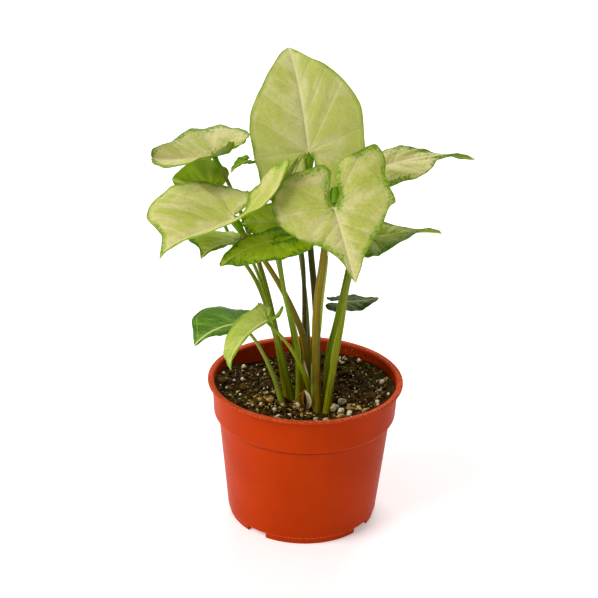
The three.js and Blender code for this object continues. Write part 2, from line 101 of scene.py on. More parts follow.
# %% [markdown]
# ## Floor and light
#
# A plant catalogue shows its plants on a white sweep under large soft boxes. One big area light
# stands in front, to the left and above, a second one high behind lights the sweep, and a pale
# world fills in the rest. Small lamps would throw hard shadows of every leaf on the pot. The
# sweep is a sheet of opal acrylic that glows a little, as on a light table, so it stays white
# under the pot. The colours are wanted as they are, so the plain Standard view transform is
# used.

# %% Floor and lights
def linear(hex_color):
    """An sRGB hex colour as the linear values that Blender's nodes work with."""
    channels = [int(hex_color[i:i + 2], 16) / 255 for i in (1, 3, 5)]
    return [c / 12.92 if c <= 0.04045 else ((c + 0.055) / 1.055) ** 2.4 for c in channels] + [1]


def put(tree, kind, inputs=None, **settings):
    """Adds one node. settings are its properties, and inputs its sockets' values or sources."""
    node = tree.nodes.new("ShaderNode" + kind)
    for name, value in settings.items():
        setattr(node, name, value)
    for name, value in (inputs or {}).items():
        if isinstance(value, bpy.types.NodeSocket):
            tree.links.new(value, node.inputs[name])
        else:
            node.inputs[name].default_value = value
    return node


def new_material(name):
    """A material with nothing in its tree but the output node."""
    material = bpy.data.materials.new(name)
    material.use_nodes = True
    material.node_tree.nodes.clear()
    put(material.node_tree, "OutputMaterial")
    return material, material.node_tree


def mix(tree, share, first, second):
    """A colour between two, each given as a socket or as a hex colour."""
    first, second = [linear(c) if isinstance(c, str) else c for c in (first, second)]
    return put(tree, "Mix", {0: share, 6: first, 7: second}, data_type="RGBA").outputs[2]


def ramp(tree, value, low, high, start=0.0, end=1.0, smooth=False):
    """start where value is low, end where it is high, and straight or eased in between."""
    return put(tree, "MapRange", {0: value, 1: low, 2: high, 3: start, 4: end},
               interpolation_type="SMOOTHSTEP" if smooth else "LINEAR").outputs[0]


def maths(tree, operation, *values):
    return put(tree, "Math", dict(enumerate(values)), operation=operation).outputs[0]


def mottle(tree, place, scale, detail, roughness=0.5):
    """Noise whose grains are about 1 / scale across."""
    return put(tree, "TexNoise", {"Vector": place, "Scale": scale, "Detail": detail,
                                  "Roughness": roughness}).outputs[0]


def carried(tree, name, kind="Fac"):
    """A number or a vector that the points of the mesh carry."""
    return put(tree, "Attribute", attribute_name=name).outputs[kind]


def in_millimetres(tree):
    place = put(tree, "TexCoord").outputs["Object"]
    return put(tree, "Mapping", {"Vector": place, "Scale": (1000, 1000, 1000)}).outputs[0]


def surface(material, relief, depth, strength, **settings):
    """Ends the tree with a Principled surface. relief is a height, and depth is in metres."""
    tree = material.node_tree
    bump = put(tree, "Bump", {"Height": relief, "Strength": strength, "Distance": depth})
    inputs = {name.replace("_", " "): value for name, value in settings.items()}
    skin = put(tree, "BsdfPrincipled", {**inputs, "Normal": bump.outputs[0]})
    tree.links.new(skin.outputs[0], tree.nodes["Material Output"].inputs[0])
    return material


def area_light(name, place, aim_at, size, power):
    lamp = bpy.data.lights.new(name, "AREA")
    lamp.shape = "DISK"
    lamp.size = size
    lamp.energy = power
    light = bpy.data.objects.new(name, lamp)
    light.location = place
    light.rotation_euler = (Vector(aim_at) - Vector(place)).to_track_quat("-Z", "Y").to_euler()
    bpy.context.collection.objects.link(light)


area_light("key_light", (-1.35, -0.75, 1.3), (0, 0, 0.13), 1.3, 31)
area_light("sweep_light", (0.2, 1.5, 1.9), (0, 0.9, 0), 1.6, 34)

scene = bpy.context.scene
scene.view_settings.view_transform = "Standard"
scene.world = bpy.data.worlds.new("pale_studio")
scene.world.use_nodes = True
scene.world.node_tree.nodes["Background"].inputs["Color"].default_value = linear("#FBFAF7")
scene.world.node_tree.nodes["Background"].inputs["Strength"].default_value = 0.36

bpy.ops.mesh.primitive_circle_add(vertices=96, radius=6, fill_type="NGON")
floor = bpy.context.object
floor.name = "floor"
material, tree = new_material("opal_acrylic_sheet")
grain = put(tree, "TexNoise", {"Scale": 180.0, "Detail": 3.0})
tint = put(tree, "MapRange", {"Value": grain.outputs[0], "To Min": 0.94, "To Max": 0.97})
acrylic = put(tree, "BsdfPrincipled", {"Base Color": tint.outputs[0], "Roughness": 0.8,
                                       "IOR": 1.49, "Specular IOR Level": 0.1,
                                       "Emission Color": linear("#FFFFFF"),
                                       "Emission Strength": 0.28})
tree.links.new(acrylic.outputs[0], tree.nodes["Material Output"].inputs[0])
floor.data.materials.append(material)
floor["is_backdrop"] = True
print("floor and two soft lights")

# %% [markdown]
# ## Turning numbers into objects
#
# Blades, stems, soil and pot are all grids of points worked out with numpy. One helper turns
# points in millimetres and faces into a smooth object, gives it its material, and hides the
# solid that it stands for.

# %% Mesh helper
def make_object(name, points, faces, materials, slot, stands_for=(), face_material=None):
    mesh = bpy.data.meshes.new(name)
    mesh.from_pydata((np.asarray(points) * MM).tolist(), [], [list(map(int, face)) for face in faces])
    mesh.shade_smooth()
    mesh.set_sharp_from_angle(angle=math.radians(50))
    for material in materials:
        mesh.materials.append(material)
    if face_material is not None:
        mesh.polygons.foreach_set("material_index", np.asarray(face_material, np.int32))
    thing = bpy.data.objects.new(name, mesh)
    bpy.context.collection.objects.link(thing)
    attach(thing, "root")
    if stands_for:
        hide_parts(*stands_for)
    return thing


def note(thing, name, values):
    """Keeps one number, or three, for each point of a mesh, for its material to read."""
    values = np.asarray(values, np.float32)
    kind, field = ("FLOAT_VECTOR", "vector") if values.ndim == 2 else ("FLOAT", "value")
    thing.data.attributes.new(name, kind, "POINT").data.foreach_set(field, values.ravel())


def grid_faces(rows, columns, start=0, closed=False):
    """Four-sided faces between the points of a grid that is stored row after row."""
    row, column = np.meshgrid(np.arange(rows - 1), np.arange(columns if closed else columns - 1),
                              indexing="ij")
    beside = (column + 1) % columns
    corners = [row * columns + column, row * columns + beside,
               (row + 1) * columns + beside, (row + 1) * columns + column]
    return start + np.stack(corners, -1).reshape(-1, 4)


def closed_tube(rows, columns, flip=False):
    """Faces round a grid, and fans at its ends to two points that follow the grid's own."""
    last, count = (rows - 1) * columns, rows * columns
    faces = [list(face) for face in grid_faces(rows, columns, closed=True)]
    for side in range(columns):
        beside = (side + 1) % columns
        faces += [[count, beside, side], [count + 1, last + side, last + beside]]
    return [face[::-1] for face in faces] if flip else faces


print("helpers ready")

# %% [markdown]
# ## The leaves' shapes
#
# Every blade is the same kind of thing: an arrowhead with a midrib, a long tip and two lobes
# behind the point where the stem joins it. What differs is its size, how it is tipped, and how
# it droops, curls and twists. So the leaves are a table of such values, in millimetres and
# degrees, and the same few formulas build them all. Sculpting fifteen leaves by hand would
# give nothing that the table doesn't, and could not be put right by changing a number. Most
# values were proposed by a solver that bent a blade until it met a traced outline, and then
# rounded, some of them after a correction.
#
# - at: where the stem meets the blade; head, tilt, face: where the tip points, how far the
#   blade is tipped from level, and towards which compass direction
# - length, width, lobe: junction to tip, half widths, and reach of the back lobes
# - belly, flare, gap, trim: how full the outline is; edge: its points, where listed
# - droop, hook, sweep, twist, tip_twist: bends of the midrib; fold, curl: how the halves roll
# - lobe_rise, lobe_splay, lobe_fold: how the back lobes lift, spread and roll
# - pocket: the notch beside the stem; veins, rise: number and steepness of the side veins
# - wave, ragged, ruffle: long waves of the edge, how uneven it is in its plane, and small waves
# - joint: how much the stem swells under the blade, as a share, and over how many mm
# - foot, route, stem: where the stem leaves the soil, points on its way, and its two radii
#
# Pairs are for the right and the left half, seen from above with the tip pointing away.

# %% Table of leaves
USUAL = dict(
    belly=[0.8, 0.8], flare=[0, 0], gap=[0.15, 0.15], droop=15, hook=0, sweep=0, twist=0,
    fold=[10, 10], curl=[-20, -20], lobe_rise=[0, 0], lobe_splay=[0, 0], lobe_fold=[0, 0],
    trim=[[1] * 8, [1] * 8], wave=0.7, stem=[2.0, 1.1], edge=None, tip_twist=0,
    pocket=[[1.5, 3], [1.5, 3]], veins=[5, 5], rise=[1.0, 1.0], joint=[0.16, 4],
    ragged=0.9, ruffle=0.25,
)
LEAVES = {
    "tall_back": dict(
        at=[-2, 14, 210], head=100, tilt=72, face=-88, length=60, width=[31, 30], lobe=[26, 26],
        belly=[1, 0.85], gap=[0.06, 0.06], droop=15, hook=25, sweep=-5, twist=10,
        fold=[8, 8], curl=[-15, -10], wave=0.6, pocket=[[2.5, 3], [2.5, 3]],
        veins=[3.4, 3.8], rise=[1.5, 0.8], joint=[1.25, 14],
        trim=[[0.95, 1, 1.05, 1, 0.95, 1, 1, 1], [1, 1, 1.05, 1, 0.95, 1.05, 1, 1]],
        foot=[7, -6], route=[[6, -4, 105], [4, -1, 131], [1, 4, 155], [-2, 10, 182]],
        stem=[2.1, 1.6],
    ),
    "front_right": dict(
        at=[12, -32, 194], head=-74, tilt=60, face=-92, length=40, width=[31, 31], lobe=[23, 26],
        edge=[
            [[2, 35], [4, 27], [12, 18], [21, 12], [29, 1], [31, -8], [27, -16.5], [17.5, -22],
             [6, -23], [-0.5, -22.5], [-3.5, -18.5]],
            [[5, 33], [10, 25], [21, 15.5], [26.5, 7.5], [30.5, 4.5], [29.5, -7], [31.5, -17.5],
             [28.5, -26], [18.5, -24.5], [10, -22.5], [4.5, -15.5]],
        ],
        droop=0, fold=[8, 10], curl=[-15, -20], pocket=[[1.5, 5], [4.5, 6]], rise=[0.7, 0.6],
        joint=[0.95, 14], foot=[7.8, -21],
        route=[[5, -16, 110], [5, -19, 137], [7, -22, 159], [9, -22, 180], [11, -21.5, 196],
               [12.5, -24, 201]],
        stem=[2.3, 1.8],
    ),
    "front_left": dict(
        at=[-39, -26, 185], head=220, tilt=16, face=-108, length=46, width=[37, 22], lobe=[15, 33],
        edge=[
            [[9, 37.2], [30.5, 38.6], [40, 19.2], [37, 2.8], [34.2, -4.6], [28.9, -10.5],
             [20.8, -15], [13, -15.5], [4.5, -12.5]],
            [[1.7, 42.3], [6.6, 30.6], [15.5, 16.6], [21.2, 2.8], [24.7, -10.6], [28, -22],
             [33.5, -31], [18, -31], [8, -29], [0.5, -23.5], [-5.5, -20]],
        ],
        droop=-5, hook=65, sweep=20, twist=5, rise=[0.5, 1], ragged=2.2, ruffle=0.35,
        joint=[0.95, 11], fold=[20, 24], curl=[-20, 20], lobe_rise=[10, 61],
        lobe_splay=[-15, -43], lobe_fold=[-20, -5],
        foot=[-0.5, -8], route=[[-1, -9, 107], [-9, -12, 131], [-24, -16, 159], [-33, -18, 171]],
        stem=[2.1, 1.3],
    ),
    "upper_left": dict(
        at=[-51, 0, 210], head=192, tilt=16, face=-96, length=33, width=[23, 15], lobe=[13, 10],
        belly=[0.75, 1.15], flare=[0.2, 0], gap=[0.2, 0.15], droop=0, hook=-20, sweep=5, twist=-25,
        fold=[20, 30], curl=[-20, 10], lobe_splay=[-25, 0], lobe_fold=[0, 40], joint=[0.45, 7],
        ragged=1.8, ruffle=0.35,
        trim=[[1.1, 0.9, 1, 0.95, 1.05, 1.05, 1.1, 1.05], [1.1, 1.2, 1, 1.05, 0.95, 1, 1, 1]],
        foot=[-8.5, -4], route=[[-17, -2, 110], [-27, 3, 149], [-44, 6, 193]],
        stem=[2.2, 1.1],
    ),
    "under_left": dict(
        at=[-54, 13, 189], head=192, tilt=62, face=94, length=22, width=[9, 19], lobe=[8, 8],
        belly=[0.85, 1.05], droop=5, hook=-5, sweep=-15, twist=35, fold=[5, 5], curl=[-20, -15],
        trim=[[1, 1, 0.95, 1, 1, 1, 1, 1], [1, 1, 1.1, 1, 1, 1, 1, 1]],
        foot=[-6, 3], route=[[-16, 5, 101], [-28, 11, 134], [-40, 15, 152], [-49, 15, 172]],
        stem=[1.8, 1.0],
    ),
    "upper_right": dict(
        at=[31.5, 3, 204], head=24, tilt=44, face=-92, length=60.5, width=[13, 8], lobe=[12, 12],
        edge=[
            [[1.5, 54], [3, 45], [4.5, 37], [10.5, 31], [13, 24], [12.5, 13], [12.5, 0],
             [9, -9], [2.5, -9]],
            [[2, 54], [3.5, 45], [5, 36], [7.5, 27], [10.5, 20], [9.5, 11], [6, 6], [4, -3],
             [2, -6]],
        ],
        droop=25, hook=15, sweep=10, twist=-30, tip_twist=-110, fold=[10, 5], curl=[-30, -5],
        foot=[11.8, -16.5],
        route=[[12.5, -7, 100], [16, -4, 118], [20.5, 0, 143], [25.5, 7, 171], [29.5, 6, 189]],
        stem=[2.1, 1.2],
    ),
    "lower_right": dict(
        at=[32, -6, 170], head=14, tilt=28, face=-90, length=40, width=[19, 12], lobe=[11, 10],
        belly=[0.35, 0.25], flare=[0.05, 0], droop=5, hook=20, twist=-50, fold=[25, 15],
        trim=[[1, 0.95, 1, 1, 1, 1.05, 1, 1], [1.05, 1, 0.9, 1.05, 1, 1, 1, 1]],
        foot=[11.5, -24.5],
        route=[[14, -19.5, 90], [18.5, -13, 121], [21.5, -11, 146], [26, -8, 161]],
        stem=[2.1, 1.2],
    ),
    "centre_left": dict(
        at=[-19, -28, 174], head=196, tilt=42, face=-90, length=31, width=[8, 11], lobe=[12, 21],
        belly=[1, 0.7], gap=[0.05, 0.03], droop=30, hook=10, sweep=-15, twist=-5, fold=[0, 0],
        curl=[-20, -20],
        trim=[[1.05, 1.05, 1.05, 0.9, 1, 1, 1, 1], [0.95, 1, 0.95, 1, 1, 1, 1, 1]],
        foot=[-3, -14.5], route=[[-5, -15, 109], [-12, -19, 139], [-16, -23, 160]],
        stem=[1.9, 1.1],
    ),
    "inner": dict(
        at=[-9, -14, 179], head=176, tilt=56, face=-90, length=28.5, width=[13, 15.5], lobe=[10, 12],
        belly=[1, 0.75], droop=15, hook=5, sweep=-10, fold=[5, 5], curl=[-25, -25],
        trim=[[1, 1.05, 0.95, 1, 1, 1, 1, 1], [0.95, 0.95, 1, 1.05, 1, 1, 1, 1]],
        foot=[3, -1], route=[[-1, -3, 107], [-2, -6, 135], [-4, -11, 162]],
        stem=[1.9, 1.0],
    ),
    "mid_left": dict(
        at=[-38, -6, 165], head=196, tilt=0, face=-92, length=24, width=[20, 5], lobe=[5, 5],
        belly=[1.2, 0.35], droop=15, hook=35, sweep=-35, twist=-25, fold=[10, 20], curl=[-30, -15],
        trim=[[0.9, 1.15, 1.05, 1, 1, 1, 1, 1], [1, 0.9, 0.95, 1, 1, 1, 1, 1]],
        foot=[-5, -8], route=[[-14, -7, 102], [-22, -5, 130], [-31, -4, 154]],
        stem=[1.6, 0.9],
    ),
    "back_tip": dict(
        at=[-36, 32, 199], head=204, tilt=20, face=-90, length=12, width=[4, 3], lobe=[2, 2],
        belly=[0.3, 0.3], droop=60, fold=[25, 25], wave=0,
        foot=[2, 4.5],
        route=[[1, 7, 100], [-2, 13, 131], [-8, 23, 163], [-16, 30, 186], [-26, 33, 198]],
        stem=[1.5, 0.8],
    ),
    "rolled": dict(
        at=[-18, -5, 191], head=60, tilt=66, face=-88, length=26, width=[5, 5], lobe=[4, 4],
        belly=[0.55, 0.65], droop=0, sweep=-5, fold=[50, 50], curl=[35, 40], wave=0,
        foot=[-1, 1.5], route=[[-7, 2, 105], [-13, 2, 134], [-17, -1, 164]],
        stem=[1.5, 0.9],
    ),
    "low_right": dict(
        at=[21, 12, 125], head=4, tilt=18, face=-90, length=19, width=[8, 7], lobe=[11, 10],
        belly=[0.7, 0.65], droop=-5, hook=-5, sweep=-5, twist=5, fold=[0, -5], curl=[-5, -15],
        foot=[13.5, 1], route=[[14.5, 3, 82], [17, 6, 98], [19.5, 9, 112]],
        stem=[1.6, 0.9],
    ),
    "low_left": dict(
        at=[-37, -12, 120], head=188, tilt=16, face=-88, length=30, width=[25, 7], lobe=[10, 10],
        belly=[1.1, 0.5], droop=55, hook=10, sweep=-15, twist=-35, fold=[0, 10], curl=[-45, -30],
        trim=[[0.95, 1.1, 1.05, 1, 1, 1, 1, 1], [1, 0.8, 0.95, 1.05, 1, 1, 1, 1]],
        foot=[-10.5, -12.5], route=[[-17, -12, 87], [-24, -12, 103], [-31, -12, 114]],
        stem=[1.7, 0.9],
    ),
    "low_front": dict(
        at=[-21, -29, 130], head=212, tilt=26, face=-94, length=38, width=[12, 4], lobe=[7, 10],
        belly=[0.85, 0.65], flare=[0.15, 0.1], gap=[0.3, 0.1], droop=85, hook=5, sweep=-5, twist=5,
        fold=[10, 35], curl=[-5, -5], lobe_rise=[-20, 20], lobe_splay=[20, -35],
        trim=[[1, 1.1, 1, 0.85, 0.95, 1.05, 1, 1], [1, 1, 0.95, 1, 1, 1, 1.05, 1]],
        foot=[5.5, -15.5], route=[[2.2, -17, 84], [-1.5, -24, 98.5], [-9, -27, 114]],
        stem=[1.8, 0.9],
    ),
}
LEAVES = {name: {**USUAL, **leaf} for name, leaf in LEAVES.items()}
print(len(LEAVES), "leaves")

# %% [markdown]
# ## Bending a blade
#
# A leaf hardly stretches, so it is best drawn flat and then bent. The midrib is walked in small
# steps that each turn a little, and every step keeps a frame: a place, a direction across the
# blade and one out of it. A flat point is then laid on by going along the midrib to its step and
# sideways along an arc. Each back lobe has a rib of its own. A lattice or bones would bend a
# mesh too, but they stretch it, and a formula also says how far each point is from a vein.

# %% Midrib and cross-section
PAST_TIP, PAST_LOBE = 1.02, 1.05        # the ribs are longer than the tip and the lobes
WAVES = 2.5                             # long waves along half an edge
RUFFLES = ((6.3, 0), (10.7, 2))         # small waves: how many, and where they start


def turned(vector, axis, degrees):
    return Quaternion(axis, math.radians(degrees)) @ vector


def blade_frame(leaf):
    face, heading = math.radians(leaf["face"]), math.radians(leaf["head"])
    hinge = Vector((-math.sin(face), math.cos(face), 0))
    tip = turned(Vector((math.cos(heading), math.sin(heading), 0)), hinge, leaf["tilt"])
    normal = turned(Vector((0, 0, 1)), hinge, leaf["tilt"])
    return Vector(leaf["at"]), tip, tip.cross(normal), normal


def rib(leaf, length, bend_at, steps=40):
    """Rows of place, across and normal along a rib that bends as bend_at says."""
    at, tip, across, normal = blade_frame(leaf)
    rows = [[*at, *across, *normal]]
    before = np.zeros(3)
    for step in range(1, steps + 1):
        now = np.array(bend_at(step / steps), float)
        pitch, sweep, twist = now - before
        before = now
        tip, normal = turned(tip, across, pitch), turned(normal, across, pitch)
        tip, across = turned(tip, normal, -sweep), turned(across, normal, -sweep)
        across, normal = turned(across, tip, twist), turned(normal, tip, twist)
        at = at + tip * (length / steps)
        rows.append([*at, *across, *normal])
    return np.array(rows)


def read_rib(rows, share):
    place = np.clip(share, 0, 1) * (len(rows) - 1)
    values = np.stack([np.interp(place, np.arange(len(rows)), column) for column in rows.T], -1)
    at, across, normal = values[:, :3], values[:, 3:6], values[:, 6:]
    return at, unit(across), unit(normal)


def unit(vectors):
    return vectors / np.linalg.norm(vectors, axis=-1, keepdims=True)


def lay_on(leaf, ribs, half, x, y, share, along):
    """Lays flat points of one half on the bent blade. Gives their places and upward directions."""
    ahead = y >= 0
    front = read_rib(ribs[0], y / (leaf["length"] * PAST_TIP))
    back = read_rib(ribs[1 + half], -y / (leaf["lobe"][half] * PAST_LOBE))
    at, across, normal = [np.where(ahead[:, None], f, b) for f, b in zip(front, back)]
    lobe_fold = np.where(ahead, 0, -leaf["lobe_fold"][half] * y / leaf["lobe"][half])
    fold = np.radians(leaf["fold"][half] + lobe_fold)
    bend = math.radians(leaf["curl"][half] or 1) / leaf["width"][half]
    angle = fold + bend * x
    sideways = (np.sin(angle) - np.sin(fold)) / bend
    ripple = np.sin(2 * np.pi * WAVES * along + 0.9 * half)
    raised = (np.cos(fold) - np.cos(angle)) / bend
    raised += leaf["wave"] * share ** 3 * ripple * np.minimum(1, 6 * along)
    ruffle = sum(np.sin(2 * np.pi * count * along + start) for count, start in RUFFLES)
    raised += leaf["ruffle"] * share ** 5 * ruffle * np.minimum(1, 5 * along)
    side = -1 if half else 1
    up = normal * np.cos(angle)[:, None] - side * across * np.sin(angle)[:, None]
    return at + side * across * sideways[:, None] + normal * raised[:, None], up


print("blade maths ready")

# %% [markdown]
# ## The outline of a blade
#
# Half an outline needs eight points between the tip and the notch at the stem, or the points
# that its leaf lists, joined by a smooth curve. The edge of a real leaf is never quite even, so
# a small seeded ripple is added that fades out at the tip and the notch.

# %% Outline
def smooth_curve(points, along):
    """A Catmull-Rom curve through points, read at along = 0 to 1."""
    points = np.asarray(points, float)
    last = len(points) - 1
    place = np.asarray(along) * last
    low = np.minimum(place.astype(int), last - 1)
    step = (place - low)[:, None]
    before, start = points[np.maximum(low - 1, 0)], points[low]
    end, after = points[low + 1], points[np.minimum(low + 2, last)]
    leave, arrive = (end - before) / 2, (after - start) / 2
    return ((2 * start - 2 * end + leave + arrive) * step ** 3
            + (3 * end - 3 * start - 2 * leave - arrive) * step ** 2 + leave * step + start)


def half_outline(leaf, half):
    tip = [0, leaf["length"]]
    if leaf["edge"]:
        return [tip] + leaf["edge"][half]
    width, lobe = leaf["width"][half], leaf["lobe"][half]
    belly, flare = leaf["belly"][half], leaf["flare"][half]
    shape = [
        (0.06 + 0.18 * belly, 0.92), (0.28 + 0.34 * belly, 0.70), (0.72 + 0.22 * belly, 0.38),
        (0.96 + 0.03 * belly, 0.06), (0.99 + 0.12 * flare, -0.32), (0.86 + 0.25 * flare, -0.74),
        (0.60 + 0.25 * flare, -1.00), (0.36 + 0.15 * flare, -0.98),
    ]
    points = [[x * width * trim, y * (leaf["length"] if y > 0 else lobe) * trim]
              for (x, y), trim in zip(shape, leaf["trim"][half])]
    return [tip] + points + [[leaf["gap"][half] * width, -0.74 * lobe]]


def uneven_edge(leaf, half, along, rng):
    """The outline, with a ripple of about a third of a millimetre."""
    edge = smooth_curve(half_outline(leaf, half), along)
    ripple = sum(rng.uniform(0.5, 1.5) / f * np.sin(2 * np.pi * (f * along + rng.random()))
                 for f in (4, 7, 11, 17, 26))
    fade = np.minimum(1, 8 * along) * np.minimum(1, 8 * (1 - along))
    reach = np.linalg.norm(edge, axis=1, keepdims=True)
    return edge * (1 + (leaf["ragged"] * ripple * fade)[:, None] / np.maximum(reach, 4))


print("outline of the tallest leaf:", len(half_outline(LEAVES["tall_back"], 0)), "points")

# %% [markdown]
# ## Where the veins run
#
# On an arrowhead leaf a strong midrib runs to the tip. A handful of side veins leave it at a
# steep angle and curve towards the tip, more fan out into the lobes, and one thin vein follows
# the margin and gathers them. The side veins can be numbered along the midrib, and every point
# of the blade gets a number between its two neighbours. Whole numbers are then veins, so one
# smooth value per point draws them all as sharply as the shader likes, at any mesh size.

# %% Vein numbering
FAN_STEP = math.radians(40)     # angle between the veins that fan into a lobe


def vein_number(leaf, half, x, y):
    """The number at each point, how many mm one number is wide there, and mm along the vein."""
    spacing = max(5.5, leaf["length"] / leaf["veins"][half])
    rise = leaf["rise"][half]       # how steeply side veins leave the midrib
    foot = y - rise * x - 0.006 * x ** 2
    first = math.atan(rise)
    angle = np.arctan2(y, np.maximum(x, 1e-3)) - first
    ahead = foot > 0
    number = np.where(ahead, foot / spacing, angle / FAN_STEP)
    wide = np.where(ahead, spacing * math.cos(first), np.hypot(x, y) * FAN_STEP)
    return number, wide, np.hypot(x, np.where(ahead, y - foot, y))


print("side veins of the tallest leaf:", LEAVES["tall_back"]["veins"])

# %% [markdown]
# ## Building a blade
#
# Spokes fan out from the stem's junction to the edge, and rings join them. That puts the points
# where they are needed, because a blade bends most near its stem and ripples most at its edge.
# The blade swells a little between its side veins, and its midrib is a groove above and a ridge
# below. The underside is a second sheet half a millimetre lower, so the leaf is a closed skin.

# %% Blade mesh
SKIN = 0.5                  # mm, thickness of the blade
PUFF = 0.5                  # mm, how far the blade swells between its side veins
POCKET_SPOKES = 12          # so many spokes on each side start beside the stem's pocket


def notch_starts(leaf, half, spokes):
    """Where the spokes start: at the junction, but the last few beside the stem's pocket."""
    turn = np.clip((np.arange(spokes + 1) - spokes + POCKET_SPOKES) / POCKET_SPOKES, 0, 1)
    across, back = leaf["pocket"][half]
    return np.stack([across * np.sin(turn * np.pi / 2), -back * turn], -1)


def blade_half(leaf, half, ribs, spokes, rings, rng):
    """Points of one half, spoke by spoke from the midrib to the notch, with what veins need."""
    along = np.linspace(0, 1, spokes + 1)
    edge = uneven_edge(leaf, half, along, rng)
    start = notch_starts(leaf, half, spokes)
    share = np.linspace(0, 1, rings + 1)[1:] ** 0.9
    flat = start[:, None] + (edge - start)[:, None] * share[:, None]
    x, y = flat.reshape(-1, 2).T
    shares, alongs = np.tile(share, spokes + 1), np.repeat(along, rings)
    place, up = lay_on(leaf, ribs, half, x, y, shares, alongs)
    number, wide, outward = vein_number(leaf, half, x, y)
    swell = np.sin(np.pi * (number % 1)) ** 2 * np.sin(np.pi * shares) * np.clip(x / 4, 0, 1)
    groove = np.exp(-(x / 1.1) ** 2) * (y > 0) * (1 - y / leaf["length"] * 0.7)
    rim = rim_distance(edge, start, x, y)
    height = PUFF * swell - 0.25 * groove
    below = SKIN + 0.75 * groove * np.minimum(1, rim / 3)
    return dict(x=-x if half else x, y=y, top=place + up * height[:, None],
                under=place + up * (height - below)[:, None], rim=rim,
                midrib=np.where(y > 0, x, 30), number=number, wide=wide,
                outward=-outward if half else outward)


def rim_distance(edge, start, x, y):
    """How far each flat point lies inside the blade's edge, notch included."""
    notch = np.linspace(edge[-1], start[-1], 24)
    rim = np.concatenate([edge, notch, start[-POCKET_SPOKES:]])
    return np.sqrt(((x[:, None] - rim[:, 0]) ** 2 + (y[:, None] - rim[:, 1]) ** 2).min(axis=1))


def blade_ribs(leaf):
    ahead = rib(leaf, leaf["length"] * PAST_TIP, lambda share: (
        -(leaf["droop"] * share + leaf["hook"] * share ** 4), leaf["sweep"] * share,
        leaf["twist"] * share + leaf["tip_twist"] * share ** 4))
    return [ahead] + [rib(leaf, -leaf["lobe"][half] * PAST_LOBE, lambda share: (
        -leaf["lobe_rise"][half] * share,
        (1 if half else -1) * leaf["lobe_splay"][half] * share, 0)) for half in (0, 1)]


def blade_points(name, leaf, spokes, rings):
    """One sheet of points: the junction, then spokes from the left notch to the right one."""
    rng = np.random.default_rng(list(LEAVES).index(name) + 3)
    ribs = blade_ribs(leaf)
    halves = [blade_half(leaf, half, ribs, spokes, rings, rng) for half in (0, 1)]
    at, tip, across, normal = blade_frame(leaf)
    first = dict(x=0, y=0, top=at, under=at - normal * (SKIN + 0.6), rim=6, midrib=0,
                 number=0, wide=1, outward=0)
    sheet = {}
    for key, value in first.items():
        left = halves[1][key].reshape(spokes + 1, rings, -1)[:0:-1]
        right = halves[0][key].reshape(spokes + 1, rings, -1)
        sheet[key] = np.concatenate([np.reshape(value, (1, -1)), left.reshape(-1, left.shape[2]),
                                     right.reshape(-1, right.shape[2])])
    return {key: value if value.shape[1] > 1 else value[:, 0] for key, value in sheet.items()}


def blade_faces(spokes, rings):
    """Triangles and quads of the upper sheet, its edge, and the same turned over below."""
    fan = 2 * spokes + 1
    count = 1 + fan * rings
    first, last = POCKET_SPOKES, fan - 1 - POCKET_SPOKES
    sheet = [[0, 1 + (spoke + 1) * rings, 1 + spoke * rings] for spoke in range(first, last)]
    sheet += [list(face) for face in grid_faces(fan, rings, start=1)[:, ::-1]]
    loop = [0] + [1 + spoke * rings for spoke in range(first, -1, -1)]
    loop += [1 + r for r in range(1, rings)] + [1 + s * rings + rings - 1 for s in range(1, fan)]
    loop += [1 + (fan - 1) * rings + r for r in range(rings - 2, 0, -1)]
    loop += [1 + spoke * rings for spoke in range(fan - 1, last - 1, -1)]
    rim = [[a, b, b + count, a + count] for a, b in zip(loop, loop[1:] + loop[:1])]
    under = [[corner + count for corner in face[::-1]] for face in sheet]
    return sheet + rim + under, [0] * len(sheet) + [1] * (len(rim) + len(under))


print("blade mesh ready")

# %% [markdown]
# ## Leaf skin
#
# The blade is a waxy skin over soft green cells, so it has a dull gloss and lets a little light
# through. Breeders picked this plant for its missing green: the middle of a leaf is lime or
# cream, and what green is left sits near the margin as a spray of flecks. The layers lie over
# each other: a body colour, cream patches of about a centimetre, fine green streaks along the
# veins, a grain like powder, a green wash and flecks that thicken towards the rim, and the
# veins. The numbers that the blade's points carry place them, so no picture is wrapped on.
# Leaves that hang under others get a brighter skin, since daylight shines through them too.

# %% Leaf skin
LET_THROUGH = dict(IOR=1.45, Subsurface_Weight=0.3, Subsurface_Radius=(0.8, 1.0, 0.15),
                   Subsurface_Scale=0.001)


def blade_numbers(tree):
    """What the blade's points carry, and the millimetres to the nearest side vein."""
    on = {name: carried(tree, name + "_mm", kind) for name, kind in (
        ("flat", "Vector"), ("vein", "Vector"), ("rim", "Fac"), ("midrib", "Fac"))}
    between = maths(tree, "PINGPONG", carried(tree, "vein_number"), 0.5)
    on["side"] = maths(tree, "MULTIPLY", between, carried(tree, "vein_wide"))
    return on


def lay_cream(tree, on, body, cream, patchy):
    """Cream lies along the veins, and in patches that are drawn out with them."""
    cloud = mottle(tree, on["vein"], 0.16, 5.0, 0.6)
    near_side = ramp(tree, on["side"], 0.0, 3.5, 0.06, -0.01)
    near_midrib = ramp(tree, on["midrib"], 0.5, 8.0, 0.17, -0.03)
    lift = maths(tree, "ADD", cloud, maths(tree, "MAXIMUM", near_side, near_midrib))
    patches = ramp(tree, lift, 0.62 - 0.26 * patchy, 0.80 - 0.20 * patchy, smooth=True)
    return mix(tree, patches, body, cream)


